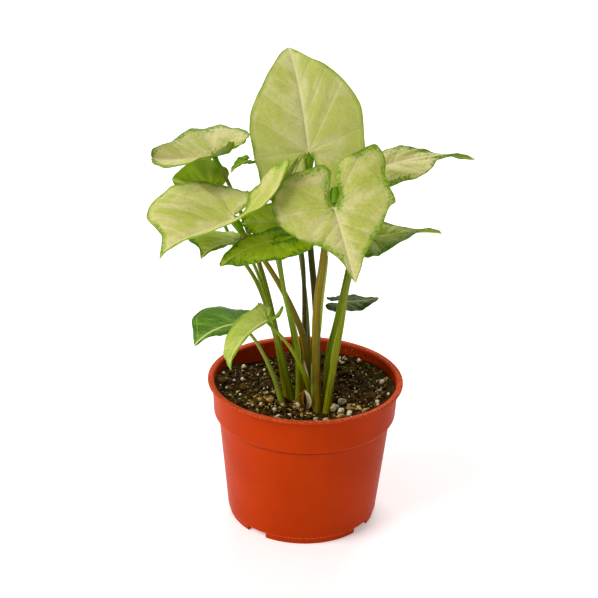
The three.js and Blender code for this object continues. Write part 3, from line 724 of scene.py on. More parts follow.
def lay_grain(tree, on, color, streak, green, cream):
    """Fine streaks between the veins, where the cells kept their green, and powder of 0.8 mm."""
    color = mix(tree, ramp(tree, streak, 0.47, 0.72, 0.0, 0.38), color, green)
    powder = mottle(tree, on["flat"], 1.25, 3.0, 0.7)
    color = mix(tree, ramp(tree, powder, 0.42, 0.66, 0.0, 0.3), color, green)
    return mix(tree, ramp(tree, powder, 0.34, 0.46, 0.35, 0.0), color, cream)


def lay_margin(tree, on, color, green, tint, flecked):
    """A green wash, flecks of 1.6 mm and a hem along the edge, which all come and go."""
    band = mottle(tree, on["flat"], 0.07, 2.0)
    reach = ramp(tree, band, 0.36, 0.64, 0.3 * tint, 1.8 * tint)
    color = mix(tree, ramp(tree, on["rim"], 0.0, reach, 0.8, 0.0, smooth=True), color, green)

    # The share of the flecks falls from the rim inwards.
    spray = mottle(tree, on["flat"], 0.62, 3.0, 0.6)
    reach = ramp(tree, band, 0.38, 0.60, 0.3 * flecked, 2.0 * flecked)
    flecks = maths(tree, "SUBTRACT", ramp(tree, on["rim"], 0.0, reach, 0.60, 0.31), spray)
    flecks = ramp(tree, flecks, -0.04, 0.08, 0.0, 0.85, smooth=True)
    deep = mix(tree, 0.4, green, "#3E6A00")
    color = mix(tree, flecks, color, deep)

    # The hem is about half a millimetre wide.
    hem = ramp(tree, on["rim"], 0.25, 0.7, 0.8, 0.0)
    here = ramp(tree, band, 0.40, 0.55, 0.35, 1.0)
    return mix(tree, maths(tree, "MULTIPLY", hem, here), color, deep)


def lay_veins(tree, on, color, vein, veined):
    """A midrib, thin side veins that end before the rim, and one vein along the margin."""
    rib_line = ramp(tree, on["midrib"], 0.2, 0.75, 0.85, 0.0, smooth=True)
    side_line = ramp(tree, on["side"], 0.05, 0.5, veined, 0.0, smooth=True)
    inside = ramp(tree, on["rim"], 2.0, 6.0, smooth=True)
    side_line = maths(tree, "MULTIPLY", side_line, inside)
    margin_line = maths(tree, "MULTIPLY", maths(tree, "COMPARE", on["rim"], 3.2, 0.3), 0.2)
    lines = maths(tree, "MAXIMUM", maths(tree, "MAXIMUM", rib_line, side_line), margin_line)
    return mix(tree, lines, color, vein)


def lay_pinpricks(tree, on, color):
    """Dark spots in cells of 10 mm, of which only a few show one."""
    prick = put(tree, "TexVoronoi", {"Vector": on["flat"], "Scale": 0.1}, voronoi_dimensions="2D")
    keep = maths(tree, "GREATER_THAN", prick.outputs["Color"], 0.94)
    spot = ramp(tree, prick.outputs["Distance"], 0.025, 0.05, 0.9, 0.0)
    return mix(tree, maths(tree, "MULTIPLY", spot, keep), color, "#2C4A12")


def vein_net(tree, on):
    """The distance to a net of tiny veins, with cells of about 1.7 mm."""
    return put(tree, "TexVoronoi", {"Vector": on["flat"], "Scale": 0.6},
               feature="DISTANCE_TO_EDGE").outputs["Distance"]


def leaf_skin(name, body, cream, green, vein, tint, flecked, patchy, veined):
    """tint: mm of soft green margin; flecked: mm that flecks reach in; patchy: 0 to 1;
    veined: how strongly the side veins show."""
    material, tree = new_material("leaf_skin_" + name)
    on = blade_numbers(tree)
    streak = mottle(tree, on["vein"], 0.7, 4.0, 0.65)
    color = lay_cream(tree, on, body, cream, patchy)
    color = lay_grain(tree, on, color, streak, green, cream)
    color = lay_margin(tree, on, color, green, tint, flecked)
    color = lay_veins(tree, on, color, vein, veined)
    color = lay_pinpricks(tree, on, color)
    # The blade is raised between its veins, and puckers along its streaks.
    ridge = ramp(tree, vein_net(tree, on), 0.0, 0.12)
    groove = ramp(tree, on["side"], 0.0, 0.9)
    relief = maths(tree, "MULTIPLY_ADD", ridge, 0.14, groove)
    relief = maths(tree, "MULTIPLY_ADD", streak, 1.6, relief)
    return surface(material, relief, 0.0003, 0.45, Base_Color=color, Roughness=0.46,
                   Specular_IOR_Level=0.15, **LET_THROUGH)


LOOKS = {           # body, cream, green, vein, tint, flecked, patchy and veined
    "lime": ("#BFC066", "#D3CD90", "#96AA2E", "#DCD6A6", 2.0, 0.9, 0.65, 0.24),
    "cream": ("#B8BA58", "#D4CA8C", "#84A024", "#D8CF98", 3.6, 3.2, 0.75, 0.24),
    "flecked": ("#B8B664", "#CDC386", "#6C8E12", "#D0C894", 2.6, 5.0, 0.75, 0.24),
    "pale_green": ("#9FAE40", "#B6BC5C", "#74941C", "#C8CC7C", 2.5, 1.6, 0.4, 0.24),
    "backlit": ("#C6DC18", "#CFD850", "#7CA400", "#D4DC74", 2.0, 1.5, 0.5, 0.24),
    "shaded": ("#B2C22E", "#CBCB68", "#5A8C08", "#CBCF70", 3.0, 6.0, 0.6, 0.24),
    "vivid": ("#9FB50C", "#B2C02A", "#5C8A02", "#B0C048", 3.0, 4.2, 0.35, 0.24),
    "marbled": ("#869A16", "#ACB04A", "#447402", "#ACB44C", 3.0, 6.0, 0.55, 0.24),
    "dark": ("#426A08", "#6A8E1E", "#2A5206", "#C6CC80", 3.0, 2.0, 0.35, 0.09),
    "slate": ("#48581E", "#5A6A2A", "#2C3E10", "#A0A866", 3.0, 2.0, 0.3, 0.24),
}
SKINS = {name: leaf_skin(name, *look) for name, look in LOOKS.items()}
print(len(SKINS), "kinds of leaf skin")

# %% [markdown]
# ## The underside of a leaf
#
# The lower skin has no wax bloom and no cream: it is a plainer, livelier green, and the midrib
# stands out of it. It needs only two layers, the green with clouds of a centimetre and the
# paler midrib.

# %% Underside
def leaf_underside(name, body, shade, vein):
    material, tree = new_material("leaf_underside_" + name)
    on = blade_numbers(tree)
    color = mix(tree, ramp(tree, mottle(tree, on["flat"], 0.12, 5.0), 0.38, 0.66), body, shade)
    color = mix(tree, ramp(tree, on["midrib"], 0.4, 1.1, 0.6, 0.0), color, vein)
    return surface(material, vein_net(tree, on), 0.0002, 0.25, Base_Color=color, Roughness=0.5,
                   Specular_IOR_Level=0.12, **LET_THROUGH)


UNDERSIDES = {
    "light": leaf_underside("light", "#849C12", "#6E880A", "#BDC76A"),
    "deep": leaf_underside("deep", "#718C08", "#577604", "#98A744"),
}
print(len(UNDERSIDES), "kinds of underside")

# %% [markdown]
# ## The fifteen blades
#
# Each blade replaces its solid, whose place and bends it shares. The solid has 14 spokes in
# half a blade, or 8 if it is small, and this one has 72, or 52, so the folds come out smooth.

# %% Blades
SMALL_BLADE = 31            # mm, up to which a blade has fewer spokes and rings
SKIN_OF = {
    "tall_back": ("lime", "light"), "front_right": ("cream", "light"),
    "front_left": ("cream", "light"), "upper_left": ("flecked", "light"),
    "under_left": ("vivid", "light"), "upper_right": ("flecked", "deep"),
    "lower_right": ("marbled", "light"), "centre_left": ("vivid", "light"),
    "inner": ("backlit", "light"), "mid_left": ("shaded", "deep"),
    "back_tip": ("vivid", "light"), "rolled": ("lime", "light"), "low_right": ("slate", "deep"),
    "low_left": ("dark", "light"), "low_front": ("pale_green", "light"),
}
SLOT_OF = {part["node"]: part["material_slot"] for part in frame["record"]["subparts"]}


def make_blade(name, leaf):
    spokes, rings = (72, 22) if leaf["length"] > SMALL_BLADE else (52, 16)
    sheet = blade_points(name, leaf, spokes, rings)
    faces, sides = blade_faces(spokes, rings)
    top, under = SKIN_OF[name]
    blade = make_object("blade_" + name, np.concatenate([sheet["top"], sheet["under"]]), faces,
                        [SKINS[top], UNDERSIDES[under]], SLOT_OF["leaf_" + name],
                        ["leaf_" + name], sides)
    seed = np.full(len(sheet["x"]), 50.0 * list(LEAVES).index(name))
    note(blade, "flat_mm", np.tile(np.stack([sheet["x"], sheet["y"], seed], -1), (2, 1)))
    streaks = np.stack([6 * sheet["number"], 0.3 * sheet["outward"], seed], -1)
    note(blade, "vein_mm", np.tile(streaks, (2, 1)))
    for attribute, key in (("rim_mm", "rim"), ("midrib_mm", "midrib"), ("vein_number", "number"),
                           ("vein_wide", "wide")):
        note(blade, attribute, np.tile(sheet[key], 2))
    return len(faces)


print("blade faces:", sum(make_blade(name, leaf) for name, leaf in LEAVES.items()))

# %% [markdown]
# ## Stems
#
# A leaf stem of this plant is a juicy rod, a little wider at its foot, with a shallow channel on
# its inner side, and a short swollen joint right under the blade. A curve with a
# bevel makes a rod too. A tube of rings made by hand takes the channel and the joint as well,
# and lets each ring carry its height for the colour.

# %% Stem path
SOIL_LEVEL, ROOT_DEPTH, GAP, SOLID_BLADE = 72, 7.5, 0.35, 0.7      # mm, as in the solids


def stem_path(leaf, steps):
    """A centripetal Catmull-Rom curve from the soil, through the route, to the blade."""
    at, tip, across, normal = blade_frame(leaf)
    arrival = (at - Vector(leaf["route"][-1])).normalized()
    slant = math.sqrt(1 - arrival.dot(normal) ** 2)
    end = at - normal * (SOLID_BLADE + GAP + leaf["stem"][1] * slant)
    points = np.array([[*leaf["foot"], SOIL_LEVEL - ROOT_DEPTH], *leaf["route"], [*end]], float)
    points = np.concatenate([[2 * points[0] - points[1]], points, [2 * points[-1] - points[-2]]])
    rows = []
    for before, start, stop, after in zip(points, points[1:], points[2:], points[3:]):
        first, middle, last = [max(np.linalg.norm(b - a), 1e-6) ** 0.5 for a, b in
                               ((before, start), (start, stop), (stop, after))]
        leave = ((start - before) / first - (stop - before) / (first + middle)
                 + (stop - start) / middle) * middle
        arrive = ((stop - start) / middle - (after - start) / (middle + last)
                  + (after - stop) / last) * middle
        t = np.linspace(0, 1, 24, endpoint=False)[:, None]
        rows.append(start + leave * t + (3 * (stop - start) - 2 * leave - arrive) * t ** 2
                    + (2 * (start - stop) + leave + arrive) * t ** 3)
    path = np.concatenate(rows + [points[-2:-1], [[*(at - normal * 0.35)]]])
    walked = np.concatenate([[0], np.cumsum(np.linalg.norm(np.diff(path, axis=0), axis=1))])
    even = np.linspace(0, walked[-1], steps)
    return np.stack([np.interp(even, walked, axis) for axis in path.T], -1), walked[-1]


print("longest stem:", round(max(stem_path(leaf, 9)[1] for leaf in LEAVES.values())), "mm")

# %% [markdown]
# A tube needs a frame at every ring that doesn't spin. The channel gives one: it always looks
# into the bush, so the direction away from it is made square to the path at each ring.

# %% Stem tube
def sweep(path, radii, outward, profile):
    """Rings of points round a path. profile gives each ring's angles and relative radii."""
    along = unit(np.gradient(path, axis=0))
    outward = unit(outward - along * (along @ outward)[:, None])
    beside = np.cross(along, outward)
    angle, shape = profile
    ring = outward[:, None] * np.cos(angle)[:, None] + beside[:, None] * np.sin(angle)[:, None]
    return path[:, None] + ring * (radii[:, None] * shape)[..., None]


FOOT_SWELL, FOOT_REACH = 0.22, 13       # the foot is wider by that share, over so many mm


def make_stem(name, leaf, material):
    sides, steps = 24, 64
    path, length = stem_path(leaf, steps)
    share = np.linspace(0, 1, steps)
    grown = np.clip(share / 0.9, 0, 1)
    foot, top = leaf["stem"]
    radii = foot + (top - foot) * grown * grown * (3 - 2 * grown)
    swell, joint_length = leaf["joint"]
    joint = np.exp(-((1 - share) * length / joint_length) ** 2)
    radii = radii * (1 + swell * joint + FOOT_SWELL * np.exp(-(share * length / FOOT_REACH) ** 2))
    outward = np.array([*leaf["foot"], 0.0]) * [1, 1, 0]
    outward = outward / max(np.linalg.norm(outward), 1) + np.array([0, -0.4, 0])
    angle = np.linspace(0, 2 * np.pi, sides, endpoint=False)
    # The channel faces inwards: it flattens the ring by a fifth over a quarter of its turn.
    channel = 1 - 0.2 * np.exp(-((angle - np.pi) / 0.5) ** 2)
    rings = sweep(path, radii, outward, (angle, np.tile(channel, (steps, 1))))
    points = np.concatenate([rings.reshape(-1, 3), path[:1], path[-1:]])
    stem = make_object("petiole_" + name, points, closed_tube(steps, sides), [material],
                       SLOT_OF["stem_" + name], ["stem_" + name])
    seed = 30.0 * list(LEAVES).index(name)
    turn = np.tile(angle, steps)
    lined = np.stack([seed + 2 * np.cos(turn), 2 * np.sin(turn),
                      np.repeat(share * length, sides)], -1)
    ends = [[seed, 0, 0], [seed, 0, length]]
    note(stem, "stem_mm", np.concatenate([lined, ends]))
    note(stem, "height_share", np.concatenate([np.repeat(share, sides), [0, 1]]))
    note(stem, "joint", np.concatenate([np.repeat(joint, sides), [0, 1]]))
    return path, radii


print("sweep ready")

# %% [markdown]
# ## Stem skin
#
# The skin is smooth and a little glossier than the blade. It changes from the foot to the blade
# through three tones of olive or brown, with a greener joint, and it is finely streaked along
# its length, because the fibres inside shine through. The streaks are noise that is stretched
# thirty times along the stem.

# %% Stem skin
def stem_skin(name, low, middle, high, streak, swollen):
    """Colours from the foot to the blade, of the streaks, and of the swollen joint."""
    material, tree = new_material(name)
    place, share = carried(tree, "stem_mm", "Vector"), carried(tree, "height_share")
    shifted = maths(tree, "MULTIPLY_ADD", mottle(tree, place, 0.25, 2.0), 0.5, share)
    color = mix(tree, ramp(tree, shifted, 0.22, 0.6), low, middle)
    color = mix(tree, ramp(tree, shifted, 0.75, 1.15), color, high)
    stretched = put(tree, "Mapping", {"Vector": place, "Scale": (1.6, 1.6, 0.05)}).outputs[0]
    fibre = mottle(tree, stretched, 1.0, 3.0)
    color = mix(tree, ramp(tree, fibre, 0.42, 0.68, 0.0, 0.75), color, streak)
    joint = ramp(tree, carried(tree, "joint"), 0.15, 0.5, smooth=True)
    color = mix(tree, joint, color, swollen)
    return surface(material, fibre, 0.0003, 0.3, Base_Color=color, Roughness=0.38, IOR=1.45,
                   Specular_IOR_Level=0.12, Subsurface_Weight=0.08,
                   Subsurface_Radius=(0.8, 1.0, 0.2), Subsurface_Scale=0.001)


STEM_SKINS = {
    "olive": stem_skin("stem_skin_olive", "#7C6C04", "#86920A", "#90A030", "#5C5004", "#5C8A08"),
    "green": stem_skin("stem_skin_green", "#80800A", "#7C900A", "#84A024", "#525A04", "#5C8A08"),
    "brown": stem_skin("stem_skin_brown", "#665004", "#7A6610", "#7A6618", "#968618", "#5C8200"),
    "dark": stem_skin("stem_skin_dark", "#5C4E08", "#4C4812", "#4C4C1A", "#2F2604", "#6E9018"),
    "bright": stem_skin("stem_skin_bright", "#8E9A1E", "#9CAA3A", "#A2B050", "#7F8C24", "#8FA030"),
    "browned": stem_skin("browned_leaf_sheath", "#7A4412", "#A86A24", "#C08838", "#5C3008",
                         "#C08838"),
    "dry": stem_skin("dried_leaf_sheath", "#A8702A", "#E0CDA0", "#F2EAD2", "#B88440", "#E8DCB8"),
}
STEM_SKIN_OF = {
    "tall_back": "dark", "front_right": "brown", "front_left": "brown", "inner": "dark",
    "upper_left": "olive", "lower_right": "olive", "centre_left": "green", "mid_left": "green",
    "low_left": "bright", "low_front": "olive", "under_left": "green", "upper_right": "green",
    "back_tip": "green", "rolled": "green", "low_right": "green",
}
stems = {name: make_stem(name, leaf, STEM_SKINS[STEM_SKIN_OF[name]])
         for name, leaf in LEAVES.items()}
print(len(stems), "stems")

# %% [markdown]
# Each new leaf comes up inside a sheath that the older stem wraps round it. What is left of the
# sheaths are thin wings on the stems' sides, still lime where they are young, and scraps like
# cream and brown paper at the foot where one has dried up. They are strips with a lens-shaped
# section, widest in the middle, that follow the stem or points of their own.

# %% Sheath wings
def make_sheath(name, path, side, width, cup, material):
    """A closed strip along a path. side points across it, and cup bends its edges back."""
    along = unit(np.gradient(path, axis=0))
    side = unit(np.asarray(side, float) - along * (along @ np.asarray(side, float))[:, None])
    out = np.cross(along, side)
    share = np.linspace(0, 1, len(path))
    half_width = 0.5 * width * np.maximum(np.sin(np.pi * share ** 0.8) ** 0.6, 0.12)
    sides = 14
    angle = np.linspace(0, 2 * np.pi, sides, endpoint=False)
    across = np.cos(angle) * half_width[:, None]
    raised = 0.22 * np.sin(angle) - cup * across ** 2 / width
    rings = path[:, None] + side[:, None] * across[..., None] + out[:, None] * raised[..., None]
    points = np.concatenate([rings.reshape(-1, 3), path[:1], path[-1:]])
    strip = make_object("sheath_" + name, points, closed_tube(len(path), sides), [material],
                        SLOT_OF["stem_front_right"])
    note(strip, "stem_mm", (points - path[0]) * [3, 3, 1] + [7 * len(name), 0, 0])
    note(strip, "height_share", np.concatenate([np.repeat(share, sides), [0, 1]]))
    note(strip, "joint", np.zeros(len(points)))


def wing(name, stem, low, high, width, side):
    """A strip that stands off one side of a stem, between two heights."""
    path, radii = stems[stem]
    chosen = (path[:, 2] > low) & (path[:, 2] < high)
    points, radius = path[chosen], radii[chosen][:, None]
    side = np.asarray(side, float) / np.linalg.norm(side)
    fine = np.linspace(0, 1, 30)
    middle = smooth_curve(points + side * (radius + 0.35 * width - 0.35), fine)
    make_sheath(name, middle, side, width, 0.15, STEM_SKINS["bright"])


wing("long_wing", "front_right", 116, 168, 2.1, (1, -0.15, 0))
wing("young_wing", "front_right", 73, 101, 1.9, (-1, -0.5, 0))
wing("right_wing", "lower_right", 98, 122, 1.3, (-1, -0.3, 0))
wing("thin_wing", "inner", 100, 124, 1.2, (-0.6, -0.8, 0))
wing("left_wing", "centre_left", 96, 128, 1.2, (0.7, -0.7, 0))
dry_paths = {       # points, width and cup
    "dry_scrap": ([[1.2, -21, 73], [2.2, -21.6, 77.5], [1.9, -21.4, 81.5], [-0.1, -20.6, 85]],
                  2.6, 1.6),
    "brown_flap": ([[0.4, -20, 72.6], [-1.2, -20, 77], [-1.4, -20, 81], [-0.2, -19.8, 85]],
                   1.5, 1.2),
    "brown_edge": ([[-0.6, -19.8, 84], [-2.4, -19.6, 82], [-4.4, -19.2, 79], [-6, -18.6, 74]],
                   1.0, 0.6),
    "dry_shred": ([[-1.6, -21, 72.4], [-3, -21.2, 75], [-4.4, -20.8, 76.6], [-6, -20, 76]],
                  2.2, 1.0),
    "dry_strip": ([[2.6, -14, 86], [1.4, -14.2, 90], [0, -14.4, 95], [-1.2, -14.6, 100]],
                  1.3, 0.6),
}
for name, (points, width, cup) in dry_paths.items():
    make_sheath(name, smooth_curve(points, np.linspace(0, 1, 30)), (1, 0.2, 0.2), width, cup,
                STEM_SKINS["browned" if name.startswith("brown") else "dry"])
print("sheath wings:", 5 + len(dry_paths))

# %% [markdown]
# ## Soil
#
# The mix is peat with bark, so its surface is a bed of dark crumbs of one to five millimetres.
# A heightfield can carry the bed: rings of points from the middle to the pot's wall, raised by
# the same lumps as the solid and by cell noise, which is domed like crumbs. Its sides follow
# the wall down to the pot's floor, so nothing is hollow when one looks through the drain holes.

# %% Soil surface
POT_WALL, FOOT_HEIGHT, FLOOR_THICKNESS = 1.2, 3.8, 1.5             # mm
SHOULDER_Z, BAND_HEIGHT = 61.7, 21.8                               # mm


def seeded(seed):
    """The same small generator that scatters the lumps of the solid."""
    state = seed
    while True:
        state = (state + 0x6D2B79F5) & 0xFFFFFFFF
        mixed = ((state ^ (state >> 15)) * (1 | state)) & 0xFFFFFFFF
        mixed ^= (mixed + ((mixed ^ (mixed >> 7)) * (61 | mixed) & 0xFFFFFFFF)) & 0xFFFFFFFF
        yield (mixed ^ (mixed >> 14)) / 4294967296


def inside_radius(z):
    upper = 51.5 + 0.9 * (z - SHOULDER_Z) / BAND_HEIGHT
    lower = 43.2 + 5.5 * (z - FOOT_HEIGHT) / (SHOULDER_Z - FOOT_HEIGHT)
    return (upper if z > SHOULDER_Z else lower) - POT_WALL


draw = seeded(41)
lumps = []
for _ in range(46):
    reach, angle = 47 * math.sqrt(next(draw)), 2 * math.pi * next(draw)
    lumps.append((reach * math.cos(angle), reach * math.sin(angle),
                  2.5 + 2.5 * next(draw), 0.5 + 1.7 * next(draw)))


def soil_height(x, y):
    """Millimetres above the ground, for arrays or single numbers."""
    rolling = 0.8 * np.sin(np.asarray(x) / 19 + 0.6) * np.cos(np.asarray(y) / 15)
    heaped = (7.3 - 0.045 * np.asarray(y)) * (np.hypot(x, y) / 50) ** 3
    hollow = 6.5 * np.exp(-((x + 28) ** 2 + (y - 40) ** 2) / 18 ** 2)
    washed = 3.5 * np.exp(-((x - 33) ** 2 + (y - 8) ** 2) / 14 ** 2)    # only in this finer bed
    height = SOIL_LEVEL + rolling + heaped - hollow - washed
    for lump_x, lump_y, width, rise in lumps:
        height = height + rise * np.exp(-((x - lump_x) ** 2 + (y - lump_y) ** 2) / width ** 2)
    return height


print("soil height in the middle:", round(float(soil_height(0, 0)), 1), "mm")

# %% Soil body
def crumbs_at(x, y):
    """Domed cells of 3.5 and 1.6 mm, and a fine grit."""
    place = Vector((x, y, 0))
    coarse = 1 - noise.voronoi(place / 3.5)[0][0]
    middle = 1 - noise.voronoi(place / 1.6 + Vector((7, 3, 0)))[0][0]
    return 1.3 * coarse ** 2 + 0.55 * middle + 0.25 * noise.noise(place * 1.3)


def make_soil(material):
    spokes, rings = 240, 70
    angle = np.linspace(0, 2 * np.pi, spokes, endpoint=False)
    radius = np.linspace(0.6, inside_radius(SOIL_LEVEL) - 0.15, rings)
    x, y = np.outer(radius, np.cos(angle)), np.outer(radius, np.sin(angle))
    z = soil_height(x, y) - 0.9
    z += np.array([crumbs_at(a, b) for a, b in zip(x.ravel(), y.ravel())]).reshape(z.shape)
    rows = [np.stack([x, y, z], -1)]
    bottom = FOOT_HEIGHT + FLOOR_THICKNESS + GAP
    for level in (SOIL_LEVEL - 5, SHOULDER_Z + 1.8, SHOULDER_Z - 1.3, bottom):
        side = inside_radius(level) - GAP
        rows.append(np.stack([side * np.cos(angle), side * np.sin(angle),
                              np.full(spokes, level)], -1)[None])
    points = np.concatenate([row.reshape(-1, 3) for row in rows])
    faces = closed_tube(len(points) // spokes, spokes, flip=True)
    middle = [[0, 0, z[0].mean()], [0, 0, bottom]]
    return make_object("potting_mix", np.concatenate([points, middle]), faces, [material],
                       "potting_soil", ["soil"])


# %% [markdown]
# Moist peat is nearly black-brown and quite dull, with a few tan flakes and some green from
# algae where it stays wet. Grains of about a millimetre and patches of two centimetres mix
# those, and a few cells of one more pattern are tan flakes.

# %% Peat
def peat_skin(name, dark, brown, tan, wet):
    material, tree = new_material(name)
    millimetres = in_millimetres(tree)
    grain = mottle(tree, millimetres, 0.7, 5.0, 0.7)
    color = mix(tree, ramp(tree, grain, 0.38, 0.66), dark, brown)
    patch = mottle(tree, millimetres, 0.05, 2.0)
    color = mix(tree, ramp(tree, patch, 0.52, 0.66, 0.0, 0.45), color, wet)
    cell = put(tree, "TexVoronoi", {"Vector": millimetres, "Scale": 0.9})
    chip = maths(tree, "MULTIPLY", maths(tree, "GREATER_THAN", cell.outputs["Color"], 0.86), 0.7)
    color = mix(tree, chip, color, tan)
    return surface(material, grain, 0.0008, 0.8, Base_Color=color, Roughness=0.85, IOR=1.5,
                   Specular_IOR_Level=0.06)


peat = peat_skin("moist_peat", "#181003", "#3E2B0A", "#8A682A", "#3C3E08")
soil = make_soil(peat)
print("soil faces:", len(soil.data.polygons))

# %% [markdown]
# ## Crumbs, perlite, bark and stones
#
# What makes soil read as soil are the loose bits on it: crumbs, white puffed perlite, torn bark,
# fibres and a few pebbles. A particle system would scatter them, but its copies can't be packed
# with the part. So each kind is one mesh in which a small rough ball is repeated, every time
# squashed, turned and dented differently, and pressed into the soil where it lies.

# %% Chunk helper
def rough_ball(detail):
    """Points and faces of a ball of triangles, as a template."""
    shell = bpy.data.meshes.new("template")
    edit = bmesh.new()
    bmesh.ops.create_icosphere(edit, subdivisions=detail, radius=1)
    edit.to_mesh(shell)
    edit.free()
    points = np.array([vertex.co[:] for vertex in shell.vertices])
    faces = np.array([face.vertices[:] for face in shell.polygons])
    bpy.data.meshes.remove(shell)
    return points, faces


BALLS = {detail: rough_ball(detail) for detail in (1, 2, 3)}


def scatter(name, bits, material, detail, dent, edge=1.0):
    """bits: rows of x, y, z, length, width, thickness. dent: depth of dents, as a share."""
    rng = np.random.default_rng(len(name))
    ball, ball_faces = BALLS[detail]
    points, faces, shade = [], [], []
    for bit in bits:
        shift = Vector(rng.uniform(-50, 50, 3))
        dents = np.array([noise.noise(Vector(p) * 1.7 * edge + shift)
                          + 0.5 * noise.noise(Vector(p) * 3.9 * edge + shift) for p in ball])
        turn = Euler((rng.normal(0, 0.35), rng.normal(0, 0.35), rng.uniform(0, 6.28))).to_matrix()
        shape = ball * (1 + dent * dents)[:, None] * np.array(bit[3:6]) / 2
        faces.append(ball_faces + len(ball) * len(points))
        points.append(shape @ np.array(turn).T + np.array(bit[:3]))
        shade.append(np.full(len(ball), rng.random()))
    thing = make_object(name, np.concatenate(points), np.concatenate(faces), [material],
                        "potting_soil")
    note(thing, "shade", np.concatenate(shade))


print("templates:", [len(points) for points, faces in BALLS.values()], "points")

# %% Where the loose bits lie
rng = np.random.default_rng(8)
BED_RADIUS = 48.5           # mm, how far out bits lie
STEM_FEET = np.array([leaf["foot"] for leaf in LEAVES.values()], float)


def placed(x, y, length, width, thick, sink=0.2):
    """A row for scatter, whose bit is sunk into the soil by a share of its thickness."""
    return [x, y, float(soil_height(x, y)) + thick * (0.5 - sink) + 0.3, length, width, thick]


def strewn(count, smallest, largest, flat, sink=0.25):
    """Random bits on the soil, mostly small, that keep clear of the stems."""
    bits = []
    while len(bits) < count:
        x, y = rng.uniform(-BED_RADIUS, BED_RADIUS, 2)
        size = smallest + (largest - smallest) * rng.random() ** 2.5
        if math.hypot(x, y) > BED_RADIUS - size / 2:
            continue
        if np.hypot(STEM_FEET[:, 0] - x, STEM_FEET[:, 1] - y).min() < 2.2 + size / 2:
            continue
        width, thick = size * rng.uniform(0.55, 0.95), size * flat * rng.uniform(0.7, 1.1)
        bits.append(placed(x, y, size, width, thick, sink))
    return bits


def mineral_skin(name, light, dark, gloss, scale):
    """Perlite, bark or stone: two colours mixed by grain, and by a number for each bit."""
    material, tree = new_material(name)
    millimetres, shade = in_millimetres(tree), carried(tree, "shade")
    grain = mottle(tree, millimetres, scale, 4.0)
    both = maths(tree, "MULTIPLY_ADD", shade, 0.6, grain)
    color = mix(tree, ramp(tree, both, 0.45, 1.1), light, dark)
    return surface(material, grain, 0.0004, 0.6, Base_Color=color, Roughness=gloss,
                   Specular_IOR_Level=0.08)


crumb_skin = mineral_skin("peat_crumbs", "#1C1204", "#543A0E", 0.9, 1.2)
perlite_skin = mineral_skin("puffed_perlite", "#EDE3C8", "#BFA878", 0.8, 1.5)
bark_skin = mineral_skin("torn_bark", "#9A7434", "#4A3010", 0.85, 0.9)
chip_skin = mineral_skin("pale_wood_chips", "#C9A860", "#7A5620", 0.8, 1.1)
moss_skin = mineral_skin("wet_moss", "#6E7420", "#34380A", 0.9, 1.2)
fibre_skin = mineral_skin("coir_fibres", "#BCA468", "#6C5828", 0.8, 0.9)
stone_skin = mineral_skin("washed_gravel", "#EADFBC", "#A4966A", 0.6, 0.7)

scatter("peat_crumbs", strewn(520, 1.2, 5.0, 0.7), crumb_skin, 1, 0.55)
scatter("perlite_grit", strewn(300, 0.5, 1.7, 0.8, 0.15), perlite_skin, 1, 0.4)
scatter("bark_bits", strewn(150, 0.8, 2.8, 0.35, 0.2), bark_skin, 1, 0.5)
fibres = [[x, y, z + 0.4, length * 2.2, 0.35, 0.3]
          for x, y, z, length, *_ in strewn(170, 1.0, 3.0, 0.2, 0.1)]
scatter("coir_fibres", fibres, fibre_skin, 1, 0.3)
print("loose bits strewn")

# %% [markdown]
# The larger bits are placed one by one: pale gravel and wood chips by the stems, and lumps of
# perlite all round. Another program turned picked points into their places on the soil. Moss,
# litter, and the crumbs that watering has left on the wall are strewn again.

